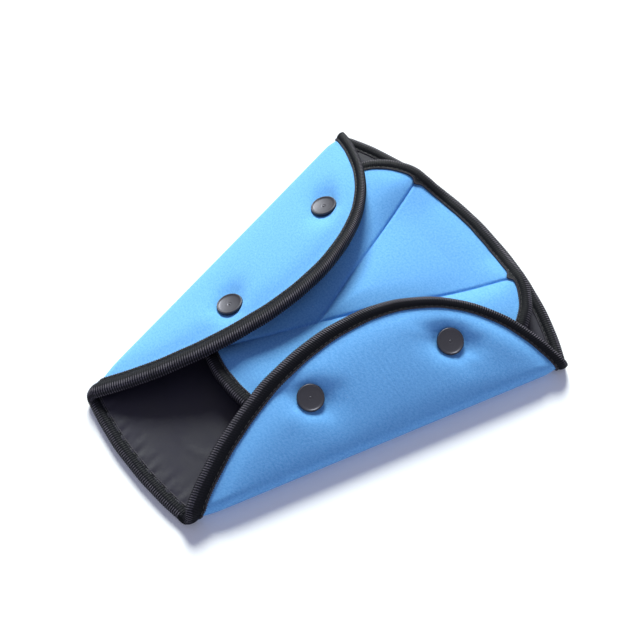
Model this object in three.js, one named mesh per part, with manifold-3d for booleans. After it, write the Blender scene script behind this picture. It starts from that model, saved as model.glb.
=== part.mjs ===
// Seat belt shoulder pad, mm: a bound foam panel folded over both sides of a quilted centre pad.
// The narrow mouth faces -Y, the wide end +Y, and the flat underside lies on z = 0.
import * as THREE from "three";
import { mergeVertices } from "three/addons/utils/BufferGeometryUtils.js";
import Module from "manifold-3d";

const wasm = await Module();
wasm.setup();

// Driving dimensions.
const MOUTH_WIDTH = 90; // over the folds at the narrow end
const WIDE_WIDTH = 192; // over the folds at the wide end
const LENGTH = 212; // between the corners, along the middle line
const TOP_BULGE = 21; // how far the wide edge bows out past its corners
const MOUTH_BULGE = 3.5;
const FOLD_RADIUS = 6.2; // outer radius of each fold
const FLAP_RISE = 27; // degrees, slope of a flap where it leaves the fold
const FLAP_CURL = 0.13; // degrees of slope lost per mm towards its edge
const FLAP_MIN = 0.5; // flap width at the corners
const CORNER_LEAD = 4; // how far the edge climbs round the fold at the mouth
const CORNER_TAIL = 4; // and falls back at the wide end
const FLAP_LEAD = [0.4, 51]; // flap edge: handle as a share of the length, and degrees, at the mouth
const FLAP_TAIL = [0.495, 75]; // the same at the wide end
const FOAM = 3.6; // foam-backed knit
const LINING = 0.5;
const CLEAR = 0.35; // gap between neighbouring pieces
const TAPE = 0.6; // binding tape thickness
const TAPE_WIDTH = 6.4; // how far the tape reaches in from the edge
const PINCH = 1.2; // foam squeezed under the tape
const PINCH_SPARE = 0.3; // a little more, so the stiff tape clears it round the folds
const PINCH_FADE = 9;
const SNAP_IN = 30.3; // snaps in from the fold, along the flap
const SNAP_SHARE = { near: 0.406, far: 0.769 }; // shares of the length
const DIMPLE = 1.7; // foam drawn in under a cap
const DIMPLE_FLAT = 2; // past the cap
const DIMPLE_FADE = 13;
const CAP_RADIUS = 7.5;
const CAP_RISE = 1.7;
const POST_RADIUS = 2;
const SOCKET_RADIUS = 5.6;
const SOCKET_HEIGHT = 1.7;
const STUD_HEIGHT = 0.8;
const PAD_LEVEL = 20; // top of the pad in the middle
const PAD_LEVEL_END = 11.6; // where it lies on the wide edge
const PAD_LIFT = 4.6; // how much higher its two wings leave that edge, for the belt
const PAD_START = 0.271; // its lower end, as a share of the length
const PAD_PAST = 13; // how far the pad runs out past the snaps
const PAD_SHOULDER = 30; // its wings start to round this far before the wide corners
const PAD_INSET = 3.5; // its top edge inside the shell's
const PAD_FALL = 74; // the stretch over which it comes down to the wide edge
const PAD_BLEND = 3;
const SEAT_FLAT = 3.4; // flat of the pad round a stud, and the slope round that
const SEAT_FADE = 10;
const PAD_DROP = 6.3; // pad surface below the flap's outer face
const NOTCH_HALF = 39.5; // where the seams reach the top edge of the pad
const SEAM_CROSS = 0.557; // where the two seams meet, as a share of the length
const SEAM_DEPTH = 1.3;
const SEAM_WIDTH = 2.2;

const rad = THREE.MathUtils.degToRad;
const ease = (v) => THREE.MathUtils.smoothstep(v, 0, 1);
// Rows along the length and columns round a fold, for the meshes.
const COUNTS = { shell: 30, lining: 12, pad: 20, bend: 6 };
const SHELL_THICK = FOAM + CLEAR + LINING;
const RISE = rad(FLAP_RISE);
const CURL = rad(FLAP_CURL);
const ARC_RADIUS = FOLD_RADIUS - 1.8; // length across the fold is measured here
const ARC = (Math.PI - RISE) * ARC_RADIUS;
const CENTRE = (LENGTH + TOP_BULGE - MOUTH_BULGE) / 2; // puts the middle on y = 0

// Half width of the flat back at a station along the length.
const flatHalf = (y) =>
  MOUTH_WIDTH / 2 + ((WIDE_WIDTH - MOUTH_WIDTH) / 2) * (y / LENGTH) - FOLD_RADIUS;

// The flap edge in the unfolded panel, x across and y along.
function flapEdge() {
  const [first, last] = [CORNER_LEAD, LENGTH - CORNER_TAIL];
  const start = new THREE.Vector2(flatHalf(first) + ARC + FLAP_MIN, first);
  const end = new THREE.Vector2(flatHalf(last) + ARC + FLAP_MIN, last);
  const [a, b] = [rad(FLAP_LEAD[1]), rad(FLAP_TAIL[1])];
  const lead = new THREE.Vector2(Math.sin(a), Math.cos(a)).multiplyScalar(FLAP_LEAD[0] * LENGTH);
  const tail = new THREE.Vector2(Math.sin(b), -Math.cos(b)).multiplyScalar(FLAP_TAIL[0] * LENGTH);
  return new THREE.CubicBezierCurve(start, lead.add(start), tail.add(end), end);
}
const EDGE = flapEdge();

// Distance across to the flap edge at a station, found by halving.
function edgeAcross(y) {
  let [low, high] = [0, 1];
  for (let i = 0; i < 40; i++) {
    const mid = (low + high) / 2;
    if (EDGE.getPoint(mid).y < y) low = mid;
    else high = mid;
  }
  return EDGE.getPoint((low + high) / 2).x;
}

// A place on the unfolded panel: how far along its fold line, which zone, and how far across that.
function placeOn(line, zone, v) {
  const toWide = Math.max(0, (line / LENGTH - 0.7) / 0.3) ** 2;
  const toMouth = Math.max(0, (0.2 - line / LENGTH) / 0.2) ** 2;
  if (zone === "flat") {
    const y = line + (1 - v * v) * (TOP_BULGE * toWide - MOUTH_BULGE * toMouth);
    return [flatHalf(y) * v, y];
  }
  const turn = zone === "bend" ? v : 1;
  const y = line + CORNER_LEAD * turn * turn * toMouth - CORNER_TAIL * turn * toWide;
  if (zone === "bend") return [flatHalf(y) + ARC * v, y];
  const inner = flatHalf(y) + ARC;
  return [inner + (edgeAcross(y) - inner) * v, y];
}

// Unfolded panel to space: across and y on the panel, depth in from its outer face.
function fold(across, y, depth) {
  const side = across < 0 ? -1 : 1;
  const flat = flatHalf(y);
  const past = Math.abs(across) - flat;
  let [x, z] = [Math.abs(across), depth];
  if (past > ARC) {
    const slope = RISE - CURL * (past - ARC);
    x = flat + FOLD_RADIUS * Math.sin(RISE) - (Math.sin(RISE) - Math.sin(slope)) / CURL;
    z = FOLD_RADIUS * (1 + Math.cos(RISE)) + (Math.cos(slope) - Math.cos(RISE)) / CURL;
    x -= depth * Math.sin(slope);
    z -= depth * Math.cos(slope);
  } else if (past > 0) {
    const turn = past / ARC_RADIUS;
    x = flat + (FOLD_RADIUS - depth) * Math.sin(turn);
    z = FOLD_RADIUS - (FOLD_RADIUS - depth) * Math.cos(turn);
  }
  return new THREE.Vector3(side * x, y - CENTRE, z);
}

// The whole outline of the unfolded panel, as a closed run of points about step apart.
function panelOutline(step) {
  const half = [];
  const row = (line, zone, n) =>
    Array.from({ length: n }, (_, i) => placeOn(line, zone, i / n));
  const backwards = (line, zone, n) =>
    Array.from({ length: n }, (_, i) => placeOn(line, zone, (n - i) / n));
  half.push(...row(0, "flat", Math.round(flatHalf(0) / step)), ...row(0, "bend", COUNTS.bend));
  for (let n = Math.round(EDGE.getLength() / step), i = 0; i <= n; i++) {
    const p = EDGE.getPointAt(THREE.MathUtils.lerp((1 - Math.cos((Math.PI * i) / n)) / 2, i / n, 0.4));
    half.push([p.x, p.y]);
  }
  half.push(...backwards(LENGTH, "bend", COUNTS.bend).slice(1));
  half.push(...backwards(LENGTH, "flat", Math.round(flatHalf(LENGTH) / step)));
  half.push(placeOn(LENGTH, "flat", 0));
  const left = half.slice(1, -1).reverse().map(([x, y]) => [-x, y]);
  return [...half, ...left];
}

// Shortest distance from a point to a closed run of points.
function distanceTo(run, x, y) {
  let best = Infinity;
  for (let i = 0; i < run.length; i++) {
    const [a, b] = [run[i], run[(i + 1) % run.length]];
    const [dx, dy] = [b[0] - a[0], b[1] - a[1]];
    const t = ((x - a[0]) * dx + (y - a[1]) * dy) / (dx * dx + dy * dy || 1);
    const s = Math.min(1, Math.max(0, t));
    best = Math.min(best, Math.hypot(x - a[0] - s * dx, y - a[1] - s * dy));
  }
  return best;
}

const OUTLINE = panelOutline(4);
const SNAPS = [];
for (const [place, share] of Object.entries(SNAP_SHARE))
  for (const [hand, side] of [["left", -1], ["right", 1]]) {
    const y = share * LENGTH;
    SNAPS.push({ name: `${hand}_${place}`, y, across: side * (flatHalf(y) + ARC + SNAP_IN) });
  }

// How far the foam's outer face is drawn in at a place on the panel.
function drawnIn(across, y) {
  const edge = distanceTo(OUTLINE, across, y);
  let depth = (PINCH + PINCH_SPARE) * (1 - ease((edge - TAPE_WIDTH) / PINCH_FADE));
  for (const snap of SNAPS) {
    const off = Math.hypot(across - snap.across, y - snap.y);
    depth = Math.max(depth, DIMPLE * (1 - ease((off - CAP_RADIUS - DIMPLE_FLAT) / DIMPLE_FADE)));
  }
  return depth;
}

// Wraps index triangles round points, facing outwards whatever way they were listed.
function solid(points, faces) {
  const flat = new Float32Array(points.flatMap((p) => [p.x, p.y, p.z]));
  let volume = 0;
  for (const [a, b, c] of faces)
    volume += points[a].dot(new THREE.Vector3().crossVectors(points[b], points[c]));
  const order = volume < 0 ? faces.map(([a, b, c]) => [a, c, b]) : faces;
  const geometry = new THREE.BufferGeometry();
  geometry.setAttribute("position", new THREE.BufferAttribute(flat, 3));
  geometry.setIndex(order.flat());
  return geometry;
}

// A sheet with thickness: face(i, j, inner) gives its points on a grid of rows and columns.
function slab(rows, columns, face) {
  const [points, faces] = [[], []];
  const at = (inner, i, j) => (inner * (rows + 1) + i) * (columns + 1) + j;
  for (const inner of [0, 1])
    for (let i = 0; i <= rows; i++)
      for (let j = 0; j <= columns; j++) points.push(face(i, j, inner));
  const quad = (a, b, c, d) => faces.push([a, b, c], [a, c, d]);
  for (let i = 0; i < rows; i++)
    for (let j = 0; j < columns; j++) {
      quad(at(0, i, j), at(0, i, j + 1), at(0, i + 1, j + 1), at(0, i + 1, j));
      quad(at(1, i, j), at(1, i + 1, j), at(1, i + 1, j + 1), at(1, i, j + 1));
    }
  for (let i = 0; i < rows; i++) {
    quad(at(0, i, 0), at(0, i + 1, 0), at(1, i + 1, 0), at(1, i, 0));
    quad(at(0, i + 1, columns), at(0, i, columns), at(1, i, columns), at(1, i + 1, columns));
  }
  for (let j = 0; j < columns; j++) {
    quad(at(0, 0, j + 1), at(0, 0, j), at(1, 0, j), at(1, 0, j + 1));
    quad(at(0, rows, j), at(0, rows, j + 1), at(1, rows, j + 1), at(1, rows, j));
  }
  return solid(points, faces);
}

// A section carried along stations; closed runs join up, open ones get flat ends.
function sweep(stations, closed) {
  const [n, k] = [stations.length, stations[0].length];
  const faces = [];
  for (let i = 0; i < (closed ? n : n - 1); i++)
    for (let j = 0; j < k; j++) {
      const [a, b] = [i * k + j, i * k + ((j + 1) % k)];
      const [c, d] = [((i + 1) % n) * k + j, ((i + 1) % n) * k + ((j + 1) % k)];
      faces.push([a, b, d], [a, d, c]);
    }
  if (!closed)
    for (let j = 1; j < k - 1; j++)
      faces.push([0, j + 1, j], [(n - 1) * k, (n - 1) * k + j, (n - 1) * k + j + 1]);
  return solid(stations.flat(), faces);
}

// One layer of the folded shell between two depths.
function shellLayer(rows, flat, flap, outerDepth, innerDepth) {
  const zones = [["flat", flat], ["bend", COUNTS.bend], ["flap", flap]];
  const table = [];
  for (let i = 0; i <= rows; i++) {
    const eased = (1 - Math.cos((Math.PI * i) / rows)) / 2;
    const line = LENGTH * THREE.MathUtils.lerp(eased, i / rows, 0.6);
    const half = [];
    for (const [zone, n] of zones)
      for (let k = 1; k <= n; k++) half.push(placeOn(line, zone, k / n));
    const left = half.slice().reverse().map(([x, y]) => [-x, y]);
    table.push([...left, placeOn(line, "flat", 0), ...half]);
  }
  return slab(rows, table[0].length - 1, (i, j, inner) => {
    const [x, y] = table[i][j];
    return fold(x, y, inner ? innerDepth : outerDepth(x, y));
  });
}

// Corner points of the tape section: in from the edge, and depth from the outer face.
function tapeSection(thick, legs, slack) {
  const [top, base] = [PINCH - CLEAR, thick + CLEAR + slack];
  const out = TAPE + CLEAR;
  const leg = (depth) =>
    Array.from({ length: legs + 1 }, (_, i) => [
      THREE.MathUtils.lerp(TAPE_WIDTH, -CLEAR, i / legs), depth,
    ]);
  return [
    ...leg(top), ...leg(base).reverse(), ...leg(base + TAPE),
    [-out, base - 0.6], [-out, top + 0.6], ...leg(top - TAPE).reverse(),
  ];
}

// Binding tape folded over a closed edge; place(x, y, depth) puts it in space.
function tape(run, place, thick, legs, slack) {
  const n = run.length;
  const section = tapeSection(thick, legs, slack);
  return sweep(run.map(([x, y], i) => {
    const [a, b] = [run[(i + n - 1) % n], run[(i + 1) % n]];
    const size = Math.hypot(b[0] - a[0], b[1] - a[1]);
    const [nx, ny] = [-(b[1] - a[1]) / size, (b[0] - a[0]) / size];
    return section.map(([reach, depth]) => place(x + nx * reach, y + ny * reach, depth));
  }), true);
}

// A snap's own frame: origin on the flap's outer face, Z out of it.
function snapMatrix(snap) {
  const origin = fold(snap.across, snap.y, 0);
  const out = origin.clone().sub(fold(snap.across, snap.y, 1));
  const lean = origin.clone().sub(fold(snap.across, snap.y + 1, 0)).normalize();
  const axis = out.addScaledVector(lean, -out.dot(lean)).normalize();
  const turn = new THREE.Quaternion().setFromUnitVectors(new THREE.Vector3(0, 0, 1), axis);
  return new THREE.Matrix4().compose(origin, turn, new THREE.Vector3(1, 1, 1));
}
for (const snap of SNAPS) {
  snap.matrix = snapMatrix(snap);
  snap.inverse = snap.matrix.clone().invert();
}

// Heights of the snap pieces in that frame, from the cap down.
const CAP_SEAT = -DIMPLE + CLEAR + 0.25;
const SOCKET_TOP = -SHELL_THICK - CLEAR;
const SOCKET_BASE = SOCKET_TOP - SOCKET_HEIGHT;
const STUD_TOP = SOCKET_BASE - CLEAR;
const STUD_BASE = STUD_TOP - STUD_HEIGHT;
const PAD_SEAT = STUD_BASE - CLEAR;
const RING_TOP = PAD_SEAT - SHELL_THICK - CLEAR;

// A surface of the flap's own shape some depth below its outer face, as a height at x, y.
function flapHeight(x, y, depth) {
  const flat = flatHalf(y);
  const reach = (flat + FOLD_RADIUS * Math.sin(RISE) - Math.abs(x)) * CURL;
  const slope = Math.asin(Math.min(0.999, Math.max(-0.999, Math.sin(RISE) - reach)));
  const z = FOLD_RADIUS * (1 + Math.cos(RISE)) + (Math.cos(slope) - Math.cos(RISE)) / CURL;
  return z - depth / Math.cos(slope);
}

// Height of the pad's top face, before seams and the squeeze at its edge.
function padHeight(x, y) {
  const fall = ease((y - LENGTH + PAD_FALL) / (PAD_FALL + CORNER_TAIL));
  const end = PAD_LEVEL_END + PAD_LIFT * ease((2 * Math.abs(x) - NOTCH_HALF) / (1.3 * NOTCH_HALF));
  const level = THREE.MathUtils.lerp(PAD_LEVEL, end, fall);
  const under = flapHeight(x, Math.min(y, LENGTH), PAD_DROP);
  let z = (level + under - Math.hypot(level - under, PAD_BLEND)) / 2;
  for (const snap of SNAPS) {
    const seat = new THREE.Vector3(0, 0, PAD_SEAT).applyMatrix4(snap.matrix);
    const out = new THREE.Vector3(0, 0, 1).transformDirection(snap.matrix);
    const off = Math.hypot(x - seat.x, y - CENTRE - seat.y);
    const plane = seat.z - (out.x * (x - seat.x) + out.y * (y - CENTRE - seat.y)) / out.z;
    z = THREE.MathUtils.lerp(plane, z, ease((off - SOCKET_RADIUS - SEAT_FLAT) / SEAT_FADE));
  }
  return z;
}

// Pad surface to space: a place in plan and a depth below the top face.
function onPad(x, y, depth) {
  const step = 0.5;
  const dx = (padHeight(x + step, y) - padHeight(x - step, y)) / (2 * step);
  const dy = (padHeight(x, y + step) - padHeight(x, y - step)) / (2 * step);
  const normal = new THREE.Vector3(-dx, -dy, 1).normalize();
  return new THREE.Vector3(x, y - CENTRE, padHeight(x, y)).addScaledVector(normal, -depth);
}

// Right half of the pad's outline in plan, from its lower end round to the wide edge.
function padCurve() {
  const v = (x, y) => new THREE.Vector2(x, y);
  const [near, far] = SNAPS.filter((snap) => snap.across > 0).map((snap) => {
    return v(fold(snap.across, snap.y, 0).x + PAD_PAST, snap.y);
  });
  const back = LENGTH - PAD_SHOULDER;
  const shoulder = near.clone().lerp(far, (back - near.y) / (far.y - near.y));
  const top = LENGTH + TOP_BULGE - PAD_INSET;
  const notch = v(NOTCH_HALF, LENGTH + 0.6 * TOP_BULGE);
  const start = PAD_START * LENGTH;
  const rise = start + 0.32 * (near.y - start);
  const path = new THREE.CurvePath();
  const [a, b] = [v(near.x / 2, start), v(0.84 * near.x, rise)];
  path.add(new THREE.CubicBezierCurve(v(0, start), a, b, near));
  path.add(new THREE.LineCurve(near, shoulder));
  const c = v(1.07 * shoulder.x, LENGTH - 0.3 * PAD_SHOULDER);
  const d = v(1.42 * NOTCH_HALF, notch.y - 0.4 * PAD_INSET);
  path.add(new THREE.CubicBezierCurve(shoulder, c, d, notch));
  path.add(new THREE.QuadraticBezierCurve(notch, v(notch.x / 2, top), v(0, top)));
  return path;
}
const PAD_CURVE = padCurve();
const LOWER_CORNER = 0.16;
const UPPER_CORNER = 0.79;

// A place on the pad from two fractions, s across from -1 to 1 and t along from 0 to 1.
function padPlace(s, t) {
  const side = s < 0 ? -1 : 1;
  const at = (f) => PAD_CURVE.getPoint(f);
  const low = at(LOWER_CORNER * Math.abs(s));
  const high = at(1 - (1 - UPPER_CORNER) * Math.abs(s));
  const rim = at(THREE.MathUtils.lerp(LOWER_CORNER, UPPER_CORNER, t));
  const [a, b] = [at(LOWER_CORNER), at(UPPER_CORNER)];
  const w = Math.abs(s);
  const corner = (c, d, e, f) => c * (1 - t) + d * t - w * (e * (1 - t) + f * t);
  const x = corner(low.x, high.x, a.x, b.x) + w * rim.x;
  const middle = corner(low.y, high.y, a.y, b.y) + w * rim.y;
  return [side * x, middle];
}

function padOutline(pieces) {
  const half = [];
  for (let i = 0; i <= pieces; i++) {
    const p = PAD_CURVE.getPoint(i / pieces);
    half.push([p.x, p.y]);
  }
  const left = half.slice(1, -1).reverse().map(([x, y]) => [-x, y]);
  return [...half, ...left];
}
const PAD_OUTLINE = padOutline(30);

function padLayer(rows, columns, outerDepth, innerDepth) {
  return slab(rows, columns, (i, j, inner) => {
    const [x, y] = padPlace((2 * j) / columns - 1, i / rows);
    return onPad(x, y, inner ? innerDepth : outerDepth(x, y));
  });
}
const padPinch = (x, y) =>
  PINCH * (1 - ease((distanceTo(PAD_OUTLINE, x, y) - TAPE_WIDTH) / PINCH_FADE));

// A V-shaped cutter that follows the pad's top face between two places in plan.
function seamCutter(from, to) {
  const stations = [];
  const [dx, dy] = [to[0] - from[0], to[1] - from[1]];
  const size = Math.hypot(dx, dy);
  const [nx, ny] = [-dy / size, dx / size];
  for (let i = 0; i <= 12; i++) {
    const [x, y] = [from[0] + (dx * i) / 12, from[1] + (dy * i) / 12];
    const squeeze = padPinch(x, y);
    const half = SEAM_WIDTH / 2;
    stations.push([
      onPad(x + nx * half * 2, y + ny * half * 2, squeeze - SEAM_DEPTH),
      onPad(x, y, squeeze + SEAM_DEPTH),
      onPad(x - nx * half * 2, y - ny * half * 2, squeeze - SEAM_DEPTH),
    ]);
  }
  return sweep(stations, false);
}

// Geometry to a solid that can be cut, and back.
function toManifold(geometry) {
  const bare = geometry.clone();
  bare.deleteAttribute("normal");
  bare.deleteAttribute("uv");
  const merged = mergeVertices(bare, 1e-4);
  return new wasm.Manifold(new wasm.Mesh({
    numProp: 3,
    vertProperties: merged.attributes.position.array,
    triVerts: new Uint32Array(merged.index.array),
  }));
}
function fromManifold(shape) {
  const mesh = shape.getMesh();
  const geometry = new THREE.BufferGeometry();
  const props = new Float32Array(mesh.vertProperties);
  geometry.setAttribute("position", new THREE.BufferAttribute(props, 3));
  geometry.setIndex(new THREE.BufferAttribute(new Uint32Array(mesh.triVerts), 1));
  return geometry;
}
function cut(geometry, cutters) {
  let shape = toManifold(geometry);
  for (const cutter of cutters) shape = shape.subtract(toManifold(cutter));
  return fromManifold(shape);
}

// A turned piece from its half section, in the frame of a snap.
function turned(snap, profile, segments) {
  const points = [...profile, profile[0]].map(([r, z]) => new THREE.Vector2(r, z));
  const geometry = new THREE.LatheGeometry(points, segments);
  geometry.rotateX(Math.PI / 2);
  geometry.deleteAttribute("normal");
  geometry.deleteAttribute("uv");
  const merged = mergeVertices(geometry, 1e-4);
  const { array } = merged.attributes.position;
  const corners = [];
  for (let i = 0; i < array.length; i += 3)
    corners.push(new THREE.Vector3(array[i], array[i + 1], array[i + 2]).applyMatrix4(snap.matrix));
  const faces = [];
  for (let i = 0; i < merged.index.array.length; i += 3) {
    const [a, b, c] = merged.index.array.slice(i, i + 3);
    if (a !== b && b !== c && a !== c) faces.push([a, b, c]);
  }
  return solid(corners, faces);
}
const hole = (snap, top, base) =>
  turned(snap, [[0, base], [POST_RADIUS + CLEAR, base], [POST_RADIUS + CLEAR, top], [0, top]], 10);

function capShape(snap) {
  const [r, seat, top] = [CAP_RADIUS, CAP_SEAT, CAP_SEAT + CAP_RISE];
  return turned(snap, [
    [0, SOCKET_TOP - 0.9], [POST_RADIUS, SOCKET_TOP - 0.9], [POST_RADIUS, seat],
    [r - 0.5, seat], [r, seat + 0.45], [r - 0.2, seat + 0.9], [r - 0.9, top - 0.35],
    [r * 0.55, top - 0.08], [1.1, top], [0.8, top + 0.25], [0, top + 0.25],
  ], 18);
}
function socketShape(snap) {
  const hollow = POST_RADIUS + CLEAR;
  return turned(snap, [
    [hollow, SOCKET_BASE], [SOCKET_RADIUS - 1, SOCKET_BASE], [SOCKET_RADIUS, SOCKET_TOP - 0.9],
    [SOCKET_RADIUS, SOCKET_TOP], [hollow, SOCKET_TOP],
  ], 12);
}
function studShape(snap) {
  return turned(snap, [
    [0, STUD_BASE], [SOCKET_RADIUS, STUD_BASE], [SOCKET_RADIUS - 0.3, STUD_TOP],
    [1.7, STUD_TOP], [POST_RADIUS, STUD_TOP + 0.7], [1.5, SOCKET_TOP - 0.9 - CLEAR],
    [0, SOCKET_TOP - 0.9 - CLEAR],
  ], 12);
}
function ringShape(snap) {
  return turned(snap, [
    [0, RING_TOP - 0.9], [SOCKET_RADIUS - 0.6, RING_TOP - 0.9], [SOCKET_RADIUS, RING_TOP - 0.4],
    [SOCKET_RADIUS, RING_TOP], [POST_RADIUS, RING_TOP], [POST_RADIUS, STUD_BASE - CLEAR],
    [0, STUD_BASE - CLEAR],
  ], 12);
}

const group = new THREE.Group();
group.name = "seat_belt_shoulder_pad";
function add(name, geometry, colour, roughness = 0.9) {
  const material = new THREE.MeshStandardMaterial({ color: colour, roughness });
  const mesh = new THREE.Mesh(geometry, material);
  mesh.name = name;
  group.add(mesh);
}

const [BLUE, BLACK, TRIM] = [0x6cb8f4, 0x1b1b20, 0x2b2b30];
const liningTop = FOAM + CLEAR;
const flapHoles = SNAPS.map((snap) => hole(snap, 4, SOCKET_TOP - 1));
const wingHoles = SNAPS.map((snap) => hole(snap, STUD_TOP, RING_TOP - 2));
add("shell_panel", cut(shellLayer(COUNTS.shell, 3, 8, drawnIn, FOAM), flapHoles), BLUE);
add("shell_lining", cut(shellLayer(COUNTS.lining, 2, 4, () => liningTop, SHELL_THICK), flapHoles), BLACK);
add("shell_binding", tape(panelOutline(10), fold, SHELL_THICK, 3, 0), TRIM);

const crossPoint = [0, SEAM_CROSS * LENGTH];
const notchY = LENGTH + 0.29 * TOP_BULGE;
const run = 0.46;
const seams = [
  seamCutter([NOTCH_HALF, notchY], [-NOTCH_HALF * run, crossPoint[1] - (notchY - crossPoint[1]) * run]),
  seamCutter([-NOTCH_HALF, notchY], crossPoint),
];
add("centre_pad", cut(padLayer(COUNTS.pad, 16, padPinch, FOAM), [...seams, ...wingHoles]), BLUE);
add("centre_lining", cut(padLayer(COUNTS.pad, 16, () => liningTop, SHELL_THICK), wingHoles), BLACK);
add("centre_binding", tape(PAD_OUTLINE, onPad, SHELL_THICK, 1, 0.25), TRIM);

for (const snap of SNAPS) {
  add(`snap_cap_${snap.name}`, capShape(snap), 0x1c1c20, 0.25);
  add(`snap_socket_${snap.name}`, socketShape(snap), 0x1c1c20, 0.35);
  add(`snap_stud_${snap.name}`, studShape(snap), 0x1c1c20, 0.35);
  add(`snap_back_${snap.name}`, ringShape(snap), 0x1c1c20, 0.35);
}

export default group;
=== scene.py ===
"""The finished look of a seat belt shoulder pad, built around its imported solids.

Lengths in the classes are millimetres; meshes are written in metres.
"""

import logging
import math
from collections.abc import Callable, Sequence
from dataclasses import dataclass, field
from enum import Enum
from functools import cached_property

import bmesh
import bpy
import numpy as np
from mathutils import Matrix, Vector


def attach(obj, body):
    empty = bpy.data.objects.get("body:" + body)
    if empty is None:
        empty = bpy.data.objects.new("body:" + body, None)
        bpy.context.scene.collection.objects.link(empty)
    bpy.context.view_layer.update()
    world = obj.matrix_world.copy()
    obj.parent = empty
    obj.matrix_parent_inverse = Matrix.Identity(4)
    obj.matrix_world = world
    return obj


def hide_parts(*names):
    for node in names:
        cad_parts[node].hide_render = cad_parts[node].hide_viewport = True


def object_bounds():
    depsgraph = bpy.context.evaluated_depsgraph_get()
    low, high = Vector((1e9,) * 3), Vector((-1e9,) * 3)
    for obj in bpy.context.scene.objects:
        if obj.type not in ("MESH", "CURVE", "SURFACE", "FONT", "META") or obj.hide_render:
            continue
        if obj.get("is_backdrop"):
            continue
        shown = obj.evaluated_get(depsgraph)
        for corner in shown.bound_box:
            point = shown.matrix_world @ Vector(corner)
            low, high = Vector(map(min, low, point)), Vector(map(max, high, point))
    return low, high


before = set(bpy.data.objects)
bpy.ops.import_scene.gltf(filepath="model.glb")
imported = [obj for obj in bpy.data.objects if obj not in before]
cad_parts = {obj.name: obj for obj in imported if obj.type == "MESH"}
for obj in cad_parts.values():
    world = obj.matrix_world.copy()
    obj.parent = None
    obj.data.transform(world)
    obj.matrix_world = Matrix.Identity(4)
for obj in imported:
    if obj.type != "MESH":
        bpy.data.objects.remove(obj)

CAD_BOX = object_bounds()
LOG = logging.getLogger("shoulder_pad")
MM = 0.001
BODY = "root"


class Slot(Enum):
    """The record's material slots."""

    KNIT = "knit"
    LINING = "lining"
    BINDING = "binding"
    SNAP = "snap"


def ease(value: np.ndarray) -> np.ndarray:
    """Smooth step that runs from 0 to 1."""
    t = np.clip(value, 0.0, 1.0)
    return t * t * (3.0 - 2.0 * t)


def unit(vectors: np.ndarray) -> np.ndarray:
    """Each row of an array, at length 1."""
    return vectors / np.maximum(np.linalg.norm(vectors, axis=-1, keepdims=True), 1e-12)


def bezier(corners: Sequence[np.ndarray], t: np.ndarray) -> np.ndarray:
    """Points of a cubic Bezier curve.

    Args:
        corners: its four control points.
        t: parameters from 0 to 1.

    Returns:
        One row for each parameter.
    """
    a, b, c, d = corners
    s = 1.0 - t[:, None]
    t = t[:, None]
    return a * s**3 + 3 * b * s * s * t + 3 * c * s * t * t + d * t**3


def distance_to(run: np.ndarray, points: np.ndarray, closed: bool = True) -> np.ndarray:
    """Shortest distance from each point to a run of straight pieces.

    Args:
        run: the corners of the run.
        points: the places to measure from.
        closed: whether the run's end joins its start.

    Returns:
        One distance for each point.
    """
    starts = run if closed else run[:-1]
    spans = (np.roll(run, -1, axis=0) if closed else run[1:]) - starts
    sizes = np.maximum((spans**2).sum(1), 1e-12)
    best = np.full(len(points), np.inf)
    for start, span, size in zip(starts, spans, sizes):
        share = np.clip(((points - start) @ span) / size, 0.0, 1.0)
        away = points - start - share[:, None] * span
        best = np.minimum(best, (away**2).sum(1))
    return np.sqrt(best)


def run_lengths(points: np.ndarray) -> np.ndarray:
    """How far along a run of straight pieces each of its points lies."""
    return np.concatenate([[0.0], np.cumsum(np.linalg.norm(np.diff(points, axis=0), axis=1))])


def cut_from(outline: np.ndarray) -> tuple[tuple[float, float], float]:
    """What a sheet was cut from.

    Args:
        outline: its flat outline in mm.

    Returns:
        Its width and length in metres, and its area in square metres.
    """
    corners = outline * MM
    x, y = corners.T
    area = abs(float((x * np.roll(y, -1) - y * np.roll(x, -1)).sum())) / 2
    width, length = corners.max(0) - corners.min(0)
    return (float(width), float(length)), area


@dataclass(frozen=True)
class Cloths:
    """Thicknesses and clearances that every layer shares."""

    foam: float = 3.6
    lining: float = 0.5
    clear: float = 0.35
    tape_width: float = 6.4
    pinch: float = 1.05
    pinch_fade: float = 8.0

    @property
    def thick(self) -> float:
        """Foam, lining and the gap between them."""
        return self.foam + self.clear + self.lining


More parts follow.
